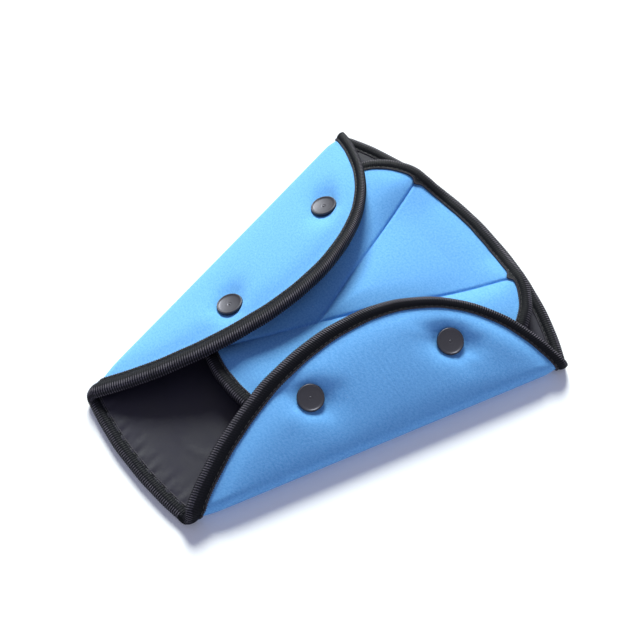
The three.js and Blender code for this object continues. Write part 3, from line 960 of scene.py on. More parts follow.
@dataclass(frozen=True)
class LiningFinish(Finish):
    """Plain black woven lining with a slight gloss; its raised yarn is painted lighter than the
    hollows between the threads, a painted shade.
    """

    name: str = "black_lining"
    colour: tuple[float, float, float] = (0.01, 0.0095, 0.017)
    # Lighter colour: the raised yarn's painted highlight, and the lighter side of the uneven tone.
    raised: tuple[float, float, float] = (0.021, 0.018, 0.036)
    lint: tuple[float, float, float] = (0.4, 0.4, 0.42)
    lint_share: float = 0.12
    rough: tuple[float, float] = (0.5, 0.62)
    pitch: float = 0.42
    relief: float = 0.06

    def make(self) -> bpy.types.Material:
        """Builds the material."""
        bench, shader, material = self.start()
        cloth = bench.add("ShaderNodeUVMap", uv_map="cloth").outputs[0]
        weave = bench.group(self.effects.weave, Vector=cloth, Pitch=self.pitch * MM)
        uneven = bench.group(self.effects.mottle, Vector=cloth, Broad=60.0, Fine=700.0)
        # Raised yarn takes the lighter colour, the hollows the darker: painted shade between the
        # threads; the uneven tone added to it is the cloth's own.
        shade = bench.math("MULTIPLY", weave.outputs["Height"], 0.6)
        shade = bench.math("MULTIPLY_ADD", uneven.outputs["Tone"], 0.3, shade, clamp=True)
        base = bench.mix(shade, (*self.colour, 1.0), (*self.raised, 1.0))
        bench.wire(
            shader,
            Base_Color=self.specked(bench, uneven, base, self.lint_share, self.lint),
            Roughness=bench.ramp(uneven.outputs["Tone"], 0.0, 1.0, *self.rough),
            Normal=bench.bump(weave.outputs["Height"], 0.5, self.relief),
            Sheen_Weight=0.05, Sheen_Roughness=0.4, Specular_IOR_Level=0.2,
        )
        return material


@dataclass(frozen=True)
class TapeFinish(Finish):
    """Black cross-ribbed tape; the ribs are in the mesh, the yarn here. The colour paints light on
    it: rib tops lighter than the grooves, a painted highlight band near the nose that fades over
    the legs, and a painted highlight line along the selvage.
    """

    name: str = "ribbed_tape"
    colour: tuple[float, float, float] = (0.004, 0.0046, 0.0074)
    # Lit colour of the painted highlight on rib tops, nose band and selvage line.
    raised: tuple[float, float, float] = (0.23, 0.205, 0.246)
    lint: tuple[float, float, float] = (0.35, 0.36, 0.4)
    lint_share: float = 0.2
    rough: tuple[float, float] = (0.42, 0.58)
    yarn: float = 0.25
    relief: float = 0.05
    rib: float = 1.3
    # Across the tape, in mm from the nose's middle: where the painted highlight band rises, is
    # full, falls and ends; how much of it the nose, the legs and the far part keep; and where the
    # selvage's painted highlight line lies.
    shoulder: tuple[float, float, float, float] = (0.4, 1.3, 3.6, 4.8)
    nose_light: float = 0.35
    leg_light: float = 0.1
    under_light: float = 0.2
    selvage: tuple[float, float] = (8.9, 10.1)
    selvage_light: float = 0.45
    blur: float = 0.3

    def make(self) -> bpy.types.Material:
        """Builds the material."""
        bench, shader, material = self.start()
        cloth = bench.add("ShaderNodeUVMap", uv_map="cloth").outputs[0]
        weave = bench.group(self.effects.weave, Vector=cloth, Pitch=self.yarn * MM)
        uneven = bench.group(self.effects.mottle, Vector=cloth, Broad=90.0, Fine=1500.0)
        parts = bench.add("ShaderNodeSeparateXYZ")
        bench.feed(parts.inputs[0], cloth)
        # Rib tops lighter than the grooves between them: painted highlight and shade along the
        # ribs.
        turn = bench.math("MULTIPLY", parts.outputs[0], 2 * math.pi / (self.rib * MM))
        ridge = bench.ramp(bench.math("SINE", turn), -0.3, 0.8, 0.0, 1.0)
        spread = bench.math("DIVIDE", bench.math("ABSOLUTE", parts.outputs[1]), MM)
        rise, full, fall, end = self.shoulder
        # Painted highlight band near the nose, dimmer at its very middle, on the legs and furthest
        # out.
        crest = bench.math("MULTIPLY", bench.ramp(spread, rise, full, self.nose_light, 1.0),
                           bench.ramp(spread, fall, end, 1.0, self.leg_light))
        under = bench.ramp(spread, end + 1.0, end + 2.0, 1.0, self.under_light)
        crest = bench.math("MULTIPLY", crest, under)
        inner, outer = self.selvage
        # Painted highlight line along the selvage ridge.
        hem = bench.math(
            "MULTIPLY", bench.ramp(spread, inner, inner + self.blur, 0.0, self.selvage_light),
            bench.ramp(spread, outer, outer - self.blur, 0.0, 1.0),
        )
        # Yarn tops lighter than the hollows, plus uneven tone; kept only where the painted
        # highlight falls.
        shade = bench.math("MULTIPLY_ADD", uneven.outputs["Tone"], 0.35,
                           bench.math("MULTIPLY", weave.outputs["Height"], 0.65), clamp=True)
        painted_highlight = bench.math("MAXIMUM", bench.math("MULTIPLY", ridge, crest), hem)
        shade = bench.math("MULTIPLY", shade, painted_highlight)
        base = bench.mix(shade, (*self.colour, 1.0), (*self.raised, 1.0))
        bench.wire(
            shader,
            Base_Color=self.specked(bench, uneven, base, self.lint_share, self.lint),
            Roughness=bench.ramp(uneven.outputs["Tone"], 0.0, 1.0, *self.rough),
            Normal=bench.bump(weave.outputs["Height"], 0.5, self.relief),
            Specular_IOR_Level=0.07,
        )
        return material


@dataclass(frozen=True)
class ThreadFinish(Finish):
    """Twisted sewing thread."""

    name: str = "thread"
    colour: tuple[float, float, float] = (0.0055, 0.0055, 0.008)
    lighter: float = 1.8

    def make(self) -> bpy.types.Material:
        """Builds the material."""
        bench, shader, material = self.start()
        place = bench.add("ShaderNodeTexCoord").outputs["Object"]
        uneven = bench.group(self.effects.mottle, Vector=place, Broad=400.0, Fine=3000.0)
        tone = uneven.outputs["Tone"]
        light = tuple(min(1.0, channel * self.lighter) for channel in self.colour)
        bench.wire(
            shader, Base_Color=bench.mix(tone, (*self.colour, 1.0), (*light, 1.0)),
            Roughness=bench.ramp(tone, 0.0, 1.0, 0.4, 0.6), Normal=bench.bump(tone, 0.4, 0.05),
        )
        return material


@dataclass(frozen=True)
class MouldedFinish(Finish):
    """Glossy black moulded plastic, a little handled."""

    name: str = "black_plastic"
    colour: tuple[float, float, float] = (0.006, 0.006, 0.008)
    worn: tuple[float, float, float] = (0.017, 0.0165, 0.021)
    dust: tuple[float, float, float] = (0.3, 0.3, 0.33)
    dust_share: float = 0.2
    gloss: tuple[float, float] = (0.4, 0.47)
    shine: float = 0.6
    tint: tuple[float, float, float] = (0.82, 0.8, 1.0)

    def make(self) -> bpy.types.Material:
        """Builds the material."""
        bench, shader, material = self.start()
        place = bench.add("ShaderNodeTexCoord").outputs["Object"]
        handled = bench.group(self.effects.handled, Vector=place, Scale=160.0)
        uneven = bench.group(self.effects.mottle, Vector=place, Broad=150.0, Fine=2500.0)
        marks = bench.math("MULTIPLY_ADD", handled.outputs["Scratch"], 0.2,
                           bench.math("MULTIPLY", uneven.outputs["Tone"], 0.3), clamp=True)
        base = bench.mix(marks, (*self.colour, 1.0), (*self.worn, 1.0))
        bench.wire(
            shader,
            Base_Color=self.specked(bench, uneven, base, self.dust_share, self.dust),
            Roughness=bench.ramp(handled.outputs["Smear"], 0.0, 1.0, *self.gloss),
            Normal=bench.bump(uneven.outputs["Tone"], 0.12, 0.02),
            Specular_IOR_Level=self.shine, Specular_Tint=(*self.tint, 1.0),
        )
        return material


@dataclass
class Finishes:
    """Every material of the object."""

    effects: Effects = field(default_factory=Effects)

    def __post_init__(self) -> None:
        """Builds the materials once."""
        self.knit = KnitFinish(self.effects).make()
        self.lining = LiningFinish(self.effects).make()
        self.tape = TapeFinish(self.effects).make()
        self.thread = ThreadFinish(self.effects, "black_thread").make()
        self.blue_thread = ThreadFinish(self.effects, "blue_thread", (0.068, 0.216, 0.6)).make()
        self.plastic = MouldedFinish(self.effects).make()
        self.rim = MouldedFinish(
            self.effects, "black_plastic_rim", gloss=(0.5, 0.6), shine=0.16
        ).make()


@dataclass(frozen=True)
class TapeSection:
    """The section of a folded binding tape, as reach in from the edge and depth below the face."""

    thick: float
    width: float = 6.4
    out: float = 1.0
    crest: float = 0.62
    tape: float = 0.6
    top: float = 0.85
    slack: float = 0.35
    groove: int = 4
    nose_points: int = 7
    inner_points: int = 5
    edge_ribs: float = 0.3
    groove_ribs: float = 0.45

    @cached_property
    def leg(self) -> np.ndarray:
        """The leg on the upper face, from its inner edge round to just before the fold."""
        top, crest = self.top, self.crest
        bed = top - self.tape
        return np.array([
            [self.width - 0.1, top],
            [self.width, top - 0.35],
            [self.width - 0.3, top - 0.66],
            [self.width - 0.8, top - 0.62],
            [self.width - 1.25, top - 0.34],
            [self.width - 1.75, top - 0.55],
            [self.width - 2.5, bed - crest * 0.6],
            [self.width - 3.4, bed - crest * 0.95],
            [self.width - 4.3, bed - crest],
            [self.width - 5.2, bed - crest * 0.85],
            [self.width - 6.0, top - 0.5 - crest * 0.4],
        ])

    @cached_property
    def points(self) -> np.ndarray:
        """The whole closed section."""
        base = self.thick + self.slack
        middle = (self.top + base) / 2
        upper = self.leg
        lower = upper[::-1] * [1.0, -1.0] + [0.0, 2 * middle]
        half = middle - upper[-1, 1]
        turn = np.linspace(-0.5, 0.5, self.nose_points + 2)[1:-1] * math.pi
        nose = np.stack([
            upper[-1, 0] - (upper[-1, 0] + self.out) * np.cos(turn) ** 0.8,
            middle + half * np.sin(turn),
        ], axis=-1)
        inside = np.array([
            [self.width - 0.3, base - 0.05],
            [0.2, base - 0.1],
            [-0.25, middle],
            [0.2, self.top + 0.1],
            [self.width - 0.3, self.top + 0.05],
        ])
        return np.concatenate([upper, nose, lower, inside])

    @property
    def outer_count(self) -> int:
        """How many of the points lie on the outside."""
        return len(self.points) - self.inner_points

    @cached_property
    def outward(self) -> np.ndarray:
        """Outward direction at each outer point; zero on the inside."""
        points = self.points
        step = np.roll(points, -1, axis=0) - np.roll(points, 1, axis=0)
        turned = unit(np.stack([step[:, 1], -step[:, 0]], axis=-1))
        turned[self.outer_count:] = 0.0
        return turned

    @cached_property
    def rib_share(self) -> np.ndarray:
        """How much of the rib each point shows: less in the stitched groove."""
        share = np.ones(len(self.points))
        far_groove = 2 * len(self.leg) + self.nose_points - 1 - self.groove
        share[[0, self.outer_count - 1]] = self.edge_ribs
        share[[self.groove, far_groove]] = self.groove_ribs
        share[self.outer_count:] = 0.0
        return share


@dataclass
class EdgeTape:
    """A cross-ribbed tape folded over the whole edge of a panel."""

    name: str
    form: ShellForm | PadForm
    node: str
    section: TapeSection
    pitch: float = 1.3
    rib: float = 0.16
    rib_form: tuple[float, float, float] = (0.7, 0.7, -1.0)
    smooth: float = 3.0
    lowest: float = 0.02
    lap: tuple[float, float, float] | None = None
    nicks: Sequence[np.ndarray] = ()
    nick_reach: float = 2.3
    nick_width: float = 2.3
    wander: float = 0.06
    waves: tuple[int, int, int] = (11, 23, 41)
    lap_fade: float = 0.8
    last_girth: float = 0.5

    def __post_init__(self) -> None:
        """Spaces the stations evenly along the edge."""
        run = self.form.outline
        closed = np.concatenate([run, run[:1]])
        gone = run_lengths(self.form.fold(closed, 0.0))
        self.length = float(gone[-1])
        self.count = len(self.rib_form) * round(self.length / self.pitch)
        self.step = self.length / self.count
        where = np.arange(self.count) * self.step
        self.line = np.stack([np.interp(where, gone, closed[:, k]) for k in (0, 1)], axis=-1)
        reach = max(1, round(self.smooth / self.step))
        ahead, behind = np.roll(self.line, -reach, axis=0), np.roll(self.line, reach, axis=0)
        along = unit(ahead - behind)
        self.inward = np.stack([-along[:, 1], along[:, 0]], axis=-1)

    def surface(self, stations: np.ndarray, reach: np.ndarray, depth: np.ndarray) -> np.ndarray:
        """Points in space, mm, at a reach in from the edge and a depth."""
        places = self.line[stations] + self.inward[stations] * reach[:, None]
        points = self.form.fold(places, depth)
        points[:, 2] = np.maximum(points[:, 2], self.lowest)
        return points

    def lap_height(self, stations: np.ndarray) -> np.ndarray:
        """Extra height where the tape's end is lapped over its start."""
        if self.lap is None:
            return np.zeros(len(stations))
        middle, length, height = self.lap
        gone = np.abs(stations * self.step - middle) - length / 2
        return height * ease(1.0 - gone / self.lap_fade)

    def nick(self, stations: np.ndarray, reach: np.ndarray) -> np.ndarray:
        """How much further in the upper leg's edge comes where a seam meets it."""
        grown = np.zeros(len(stations))
        for spot in self.nicks:
            off = np.linalg.norm(self.line[stations] - spot, axis=1)
            grown = np.maximum(grown, self.nick_reach * np.exp(-((off / self.nick_width) ** 2)))
        return grown * np.clip((reach - self.section.width) / self.nick_width + 1.0, 0.0, 1.0)

    def build(self, material: bpy.types.Material) -> bpy.types.Object:
        """Makes the tape's mesh.

        Args:
            material: its finish.

        Returns:
            The finished piece.
        """
        section, count, sides = self.section, self.count, len(self.section.points)
        bm = bmesh.new()
        bmesh.ops.create_grid(bm, x_segments=count, y_segments=sides, size=1.0)
        uv = bm.loops.layers.uv.new("cloth")
        grid = np.array([vert.co[:2] for vert in bm.verts]) * 0.5 + 0.5
        i, j = np.rint(grid * [count, sides]).astype(int).T
        station, side = i % count, j % sides
        swell = self.rib * np.take(self.rib_form, station % len(self.rib_form))
        swell = swell * section.rib_share[side]
        swell = swell + self.lap_height(station) * (section.outward[side] != 0).any(axis=1)
        flat = section.points[side] + section.outward[side] * swell[:, None]
        turn = station * 2 * math.pi / self.count
        drift = sum(np.sin(wave * turn + shift) for shift, wave in enumerate(self.waves))
        flat[:, 0] += self.nick(station, flat[:, 0]) + self.wander * drift
        points = self.surface(station, flat[:, 0], flat[:, 1]) * MM
        girth = run_lengths(section.points)
        girth = np.append(girth, girth[-1] + self.last_girth)
        girth -= girth[section.outer_count - 1] / 2
        flats = np.stack([i * self.pitch / len(self.rib_form), girth[j]], axis=-1) * MM
        bm.verts.index_update()
        for face in bm.faces:
            for loop in face.loops:
                loop[uv].uv = flats[loop.vert.index]
        for vert, point in zip(bm.verts, points):
            vert.co = point
        bmesh.ops.remove_doubles(bm, verts=bm.verts[:], dist=1e-7)
        bmesh.ops.recalc_face_normals(bm, faces=bm.faces[:])
        return finish_piece(new_object(self.name, bm), material, Slot.BINDING, [self.node])

    def stitches(self, material: bpy.types.Material, pitch: float = 3.2) -> bpy.types.Object:
        """Makes the lock stitches that lie in the groove of both legs.

        Args:
            material: the thread's finish.
            pitch: length of one stitch.

        Returns:
            The finished piece.
        """
        sewing = Stitching(f"{self.name}_stitches", length=pitch * 0.82)
        groove = self.section.leg[self.section.groove]
        base = self.section.thick + self.section.slack + self.section.top - groove[1]
        every = round(pitch / self.step)
        stations = np.arange(0, self.count - every // 2, every)
        for depth, lift in ((groove[1] - 0.12, -1.0), (base + 0.12, 1.0)):
            reach = np.full(len(stations), groove[0])
            deep = np.full(len(stations), depth)
            here = self.surface(stations, reach, deep)
            ahead = self.surface((stations + 2) % self.count, reach, deep)
            above = self.surface(stations, reach, deep + lift)
            sewing.add(here, ahead - here, above - here)
        return finish_piece(sewing.build(), material, Slot.BINDING)


@dataclass
class Stitching:
    """A row of thread stitches, each a small rounded length of thread."""

    name: str
    length: float = 2.6
    width: float = 0.42
    height: float = 0.34
    frames: list[Matrix] = field(default_factory=list)

    def add(self, spots: np.ndarray, along: np.ndarray, up: np.ndarray) -> None:
        """Adds stitches.

        Args:
            spots: where each lies, mm.
            along: the way each runs.
            up: the way out of the cloth at each.
        """
        along = unit(along)
        up = unit(up - along * (up * along).sum(1, keepdims=True))
        for spot, x, z in zip(spots, along, up):
            y = np.cross(z, x)
            turn = Matrix((x, y, z)).transposed().to_4x4()
            size = Matrix.Diagonal((self.length / 2, self.width / 2, self.height / 2, 1.0))
            place = Matrix.Translation(Vector(spot * MM))
            self.frames.append(place @ turn @ (size @ Matrix.Scale(MM, 4)).to_3x3().to_4x4())

    def build(self) -> bpy.types.Object:
        """Makes the mesh of all the stitches."""
        seed = bmesh.new()
        bmesh.ops.create_uvsphere(seed, u_segments=6, v_segments=5, radius=1.0)
        stitch = bpy.data.meshes.new("stitch")
        seed.to_mesh(stitch)
        seed.free()
        bm = bmesh.new()
        for matrix in self.frames:
            stitch.transform(matrix)
            bm.from_mesh(stitch)
            stitch.transform(matrix.inverted())
        bpy.data.meshes.remove(stitch)
        return new_object(self.name, bm)


@dataclass
class Shell:
    """The outer shell: foam-backed knit, lining and binding, folded at both sides."""

    form: ShellForm = ShellForm()
    columns: tuple[int, int, int] = (24, 8, 24)
    rows: int = 84
    dimple: float = 2.4
    dimple_start: float = 7.0
    dimple_fade: float = 16.0
    dimple_power: float = 2.6
    swell: float = 2.0
    swell_from: float = 0.2
    swell_run: float = 34.0
    crown_run: float = 14.0
    pucker: float = 0.13
    pucker_at: float = 11.5
    pucker_width: float = 5.0
    pucker_folds: tuple[int, ...] = (3, 5, 8, 13)
    gather: float = 0.16
    lining_columns: tuple[int, int, int] = (26, 6, 20)
    lining_rows: int = 90
    foam_limit: float = 1.3
    lining_limit: float = 0.15
    foam_recipe: ClothRecipe = ClothRecipe(pressure=6.0)
    lining_recipe: ClothRecipe = ClothRecipe(pressure=0.6, shrink=-0.02, bending=2.0, tension=8.0)

    def grid(self, columns: tuple[int, int, int], rows: int, thick: bool) -> PanelMesh:
        """A flat grid over the unfolded panel, one or two skins thick."""
        form = self.form
        panel = PanelMesh(form, 2 * sum(columns), rows)

        def place(x: np.ndarray, y: np.ndarray) -> np.ndarray:
            """Places for the grid's own coordinates."""
            steps = np.concatenate([[0.0], np.cumsum(columns)]) / sum(columns)
            zone = np.sign(x) * np.interp(np.abs(x), steps, [0.0, 1.0, 2.0, 3.0])
            share = (y + 1) / 2
            eased = (1 - np.cos(math.pi * share)) / 2
            return form.place(form.length * (0.4 * eased + 0.6 * share), zone)

        panel.lay(place)
        panel.remember()
        if thick:
            panel.thicken()
        return panel

    def drawn_in(self, places: np.ndarray) -> np.ndarray:
        """How far the knit is drawn in under the tape and round the caps."""
        cloths = self.form.cloths
        edge = distance_to(self.form.outline[::6], places)
        depth = cloths.pinch * (1 - ease((edge - cloths.tape_width + 1.0) / cloths.pinch_fade))
        past = self.form.past_back(places)
        rise = ease((past - self.swell_from * self.form.arc) / self.swell_run)
        depth -= self.swell * rise * ease((edge - cloths.tape_width + 1.0) / self.crown_run)
        for seed, snap in enumerate(self.form.snaps):
            away = places - snap.place
            off, angle = np.hypot(*away.T), np.arctan2(away[:, 1], away[:, 0])
            share = np.clip((off - self.dimple_start) / self.dimple_fade, 0.0, 1.0)
            well = (1 - share) ** self.dimple_power
            folds = sum(
                np.sin(number * angle + 1.7 * seed + number) for number in self.pucker_folds
            )
            near = np.exp(-(((off - self.pucker_at) / self.pucker_width) ** 2)) * (share > 0)
            depth = depth + (self.dimple - depth) * well + self.pucker * folds * near
        return depth

    def padding(self, material: bpy.types.Material) -> bpy.types.Object:
        """Makes the foam-backed knit panel."""
        panel = self.grid(self.columns, self.rows, True)
        places, inner = panel.spots()
        drawn = self.drawn_in(places)
        panel.fold(np.where(inner, self.form.cloths.foam, drawn))
        piece = new_object("shell_padding", panel.bm)
        edge = distance_to(self.form.outline[::6], places)
        turn = self.form.past_back(places) / self.form.arc
        held = 1 - ease(turn) * ease((edge - self.form.cloths.tape_width + 0.5) / 3.0)
        for snap in self.form.snaps:
            off = np.hypot(*(places - snap.place).T)
            held = np.maximum(held, 1 - ease((off - self.dimple_start - 0.4) / 2.0))
        held = np.where(inner, 1.0, held)
        settle(piece, held, 1 - held, np.full(len(held), self.foam_limit), self.foam_recipe)
        subdivide(piece)
        finish_piece(piece, material, Slot.KNIT, ["shell_panel"])
        return piece

    def lining(self, material: bpy.types.Material) -> bpy.types.Object:
        """Makes the woven lining on the panel's inner face."""
        cloths = self.form.cloths
        panel = self.grid(self.lining_columns, self.lining_rows, False)
        places, _ = panel.spots()
        edge = distance_to(self.form.outline[::6], places)
        ripple = np.sin(places[:, 0] * 0.83) + np.sin(places[:, 0] * 1.31 + places[:, 1] * 0.4)
        calm = np.exp(-(((edge - cloths.tape_width) / 7.0) ** 2)) * (places[:, 1] < 30.0)
        deep = cloths.thick + self.gather * (2 + ripple) * calm
        panel.fold(deep)
        inward = unit(self.form.fold(places, deep + 0.1) - self.form.fold(places, deep))
        piece = new_object("shell_lining_cloth", panel.bm)
        turn = self.form.past_back(places) / self.form.arc
        held = np.maximum(1 - ease((edge - cloths.tape_width + 1) / 4.0), ease(turn * 3 + 1))
        limit = np.full(len(held), self.lining_limit)
        settle(piece, held, 1 - held, limit, self.lining_recipe, inward)
        thicken(piece, cloths.lining)
        subdivide(piece)
        finish_piece(piece, material, Slot.LINING, ["shell_lining"])
        flat, area = cut_from(self.form.outline)
        return piece

    def build(self, finishes: Finishes) -> None:
        """Makes every piece of the shell."""
        cloths = self.form.cloths
        self.padding(finishes.knit)
        self.lining(finishes.lining)
        tape = EdgeTape("shell_tape", self.form, "shell_binding", TapeSection(cloths.thick),
                        lap=(461.0, 13.0, 0.6))
        LOG.info("shell tape is %.0f mm long", tape.length)
        tape.build(finishes.tape)
        tape.stitches(finishes.thread)


@dataclass
class CentrePad:
    """The quilted pad between the flaps: foam-backed knit, lining and binding."""

    form: PadForm = PadForm()
    columns: int = 62
    rows: int = 76
    seam_depth: float = 2.5
    seam_strip: float = 0.8
    seam_lip: float = 1.1
    seam_fade: float = 10.0
    thread_in: float = 5.5
    thread_end: float = 6.0
    swell: float = 1.2
    crown_run: float = 14.0
    least_limit: float = 0.5
    room_limit: float = 1.5
    recipe: ClothRecipe = ClothRecipe(pressure=6.0)

    def grid(self, seams: bool) -> PanelMesh:
        """A flat grid over the pad, cut along its seams if asked."""
        panel = PanelMesh(self.form, self.columns, self.rows)
        panel.lay(lambda x, y: self.form.place(x, (y + 1) / 2))
        for seam in self.form.seams if seams else ():
            panel.crease_along(seam, 0.8, self.seam_strip)
        panel.remember()
        panel.thicken()
        return panel

    def seam_distance(self, places: np.ndarray) -> np.ndarray:
        """Distance from each place to the nearer seam."""
        return np.min([distance_to(seam, places, False) for seam in self.form.seams], axis=0)

    def padding(self, material: bpy.types.Material) -> bpy.types.Object:
        """Makes the quilted foam-backed knit."""
        cloths = self.form.shell.cloths
        panel = self.grid(True)
        places, inner = panel.spots()
        edge = distance_to(self.form.outline[::4], places)
        seam = self.seam_distance(places)
        pinch = cloths.pinch * (1 - ease((edge - cloths.tape_width + 1.0) / cloths.pinch_fade))
        broad = self.seam_lip * (1 - np.clip((seam - self.seam_strip) / self.seam_fade, 0, 1)) ** 2
        sharp = (self.seam_depth - self.seam_lip) * np.clip(1 - seam / self.seam_strip, 0, 1)
        quilt = np.where(seam < self.seam_strip + self.seam_fade, broad + sharp, 0.0)
        run = self.crown_run
        swell = self.swell * ease((edge - cloths.tape_width) / run) * ease(seam / run)
        sockets = self.form.off_sockets(places)
        for off in sockets:
            swell *= ease((off - 3.0) / run)
        above = self.form.shell.under_flap(places[:, 0], places[:, 1], self.form.drop)
        room = ease((above - self.form.height(*places.T) - 1.0) / 5.0)
        depth = np.maximum(pinch, quilt) + 0.5 * np.minimum(pinch, quilt) - swell * room
        panel.fold(np.where(inner, cloths.foam, depth))
        crease = panel.bm.edges.layers.float.new("crease_edge")
        for link in panel.bm.edges:
            ends = [vert.index for vert in link.verts]
            if max(seam[ends]) < 0.05 and not inner[ends].any():
                link[crease] = 1.0
        piece = new_object("pad_padding", panel.bm)
        held = np.maximum(
            1 - ease((edge - cloths.tape_width + 0.5) / 3.0),
            1 - ease((seam - self.seam_strip - 0.1) / 1.2),
        )
        for off in sockets:
            held = np.maximum(held, 1 - ease((off - 1.0) / 3.0))
        held = np.where(inner, 1.0, held)
        settle(piece, held, 1 - held, self.least_limit + self.room_limit * room, self.recipe)
        subdivide(piece)
        finish_piece(piece, material, Slot.KNIT, ["centre_pad"])
        return piece

    def lining(self, material: bpy.types.Material) -> bpy.types.Object:
        """Makes the woven lining under the pad."""
        cloths = self.form.shell.cloths
        panel = self.grid(False)
        _, inner = panel.spots()
        panel.fold(np.where(inner, cloths.thick, cloths.foam + 0.12))
        piece = new_object("pad_lining_cloth", panel.bm)
        finish_piece(piece, material, Slot.LINING, ["centre_lining"])
        flat, area = cut_from(self.form.outline)
        return piece

    def seam_thread(self, material: bpy.types.Material, pitch: float = 2.6) -> bpy.types.Object:
        """Makes the stitches at the bottom of the quilting seams."""
        sewing = Stitching("pad_seam_stitches", length=pitch * 0.8, width=0.34, height=0.26)
        for start, end in self.form.seams:
            size = float(np.linalg.norm(end - start))
            gone = np.arange(pitch, size - pitch / 2, pitch)[:, None]
            along = (end - start) / size
            spots = start + along * gone
            inside = distance_to(self.form.outline[::4], spots) > self.thread_in
            last = self.form.outline[:, 1].max() - self.thread_end
            spots = spots[inside & (spots[:, 1] < last)]
            depth = self.seam_depth + 0.04
            here = self.form.fold(spots, depth)
            sewing.add(here, self.form.fold(spots + along, depth) - here,
                       self.form.fold(spots, depth - 1) - here)
        return finish_piece(sewing.build(), material, Slot.KNIT)

    def build(self, finishes: Finishes) -> None:
        """Makes every piece of the centre pad."""
        cloths = self.form.shell.cloths
        self.padding(finishes.knit)
        self.lining(finishes.lining)
        self.seam_thread(finishes.blue_thread)
        edge = self.form.outline
        nicks = [edge[np.argmin(((edge - seam[0]) ** 2).sum(1))] for seam in self.form.seams]
        tape = EdgeTape("pad_tape", self.form, "centre_binding",
                        TapeSection(cloths.thick, slack=0.6, crest=0.5), nicks=nicks)
        LOG.info("pad tape is %.0f mm long", tape.length)
        tape.build(finishes.tape)
        tape.stitches(finishes.thread)


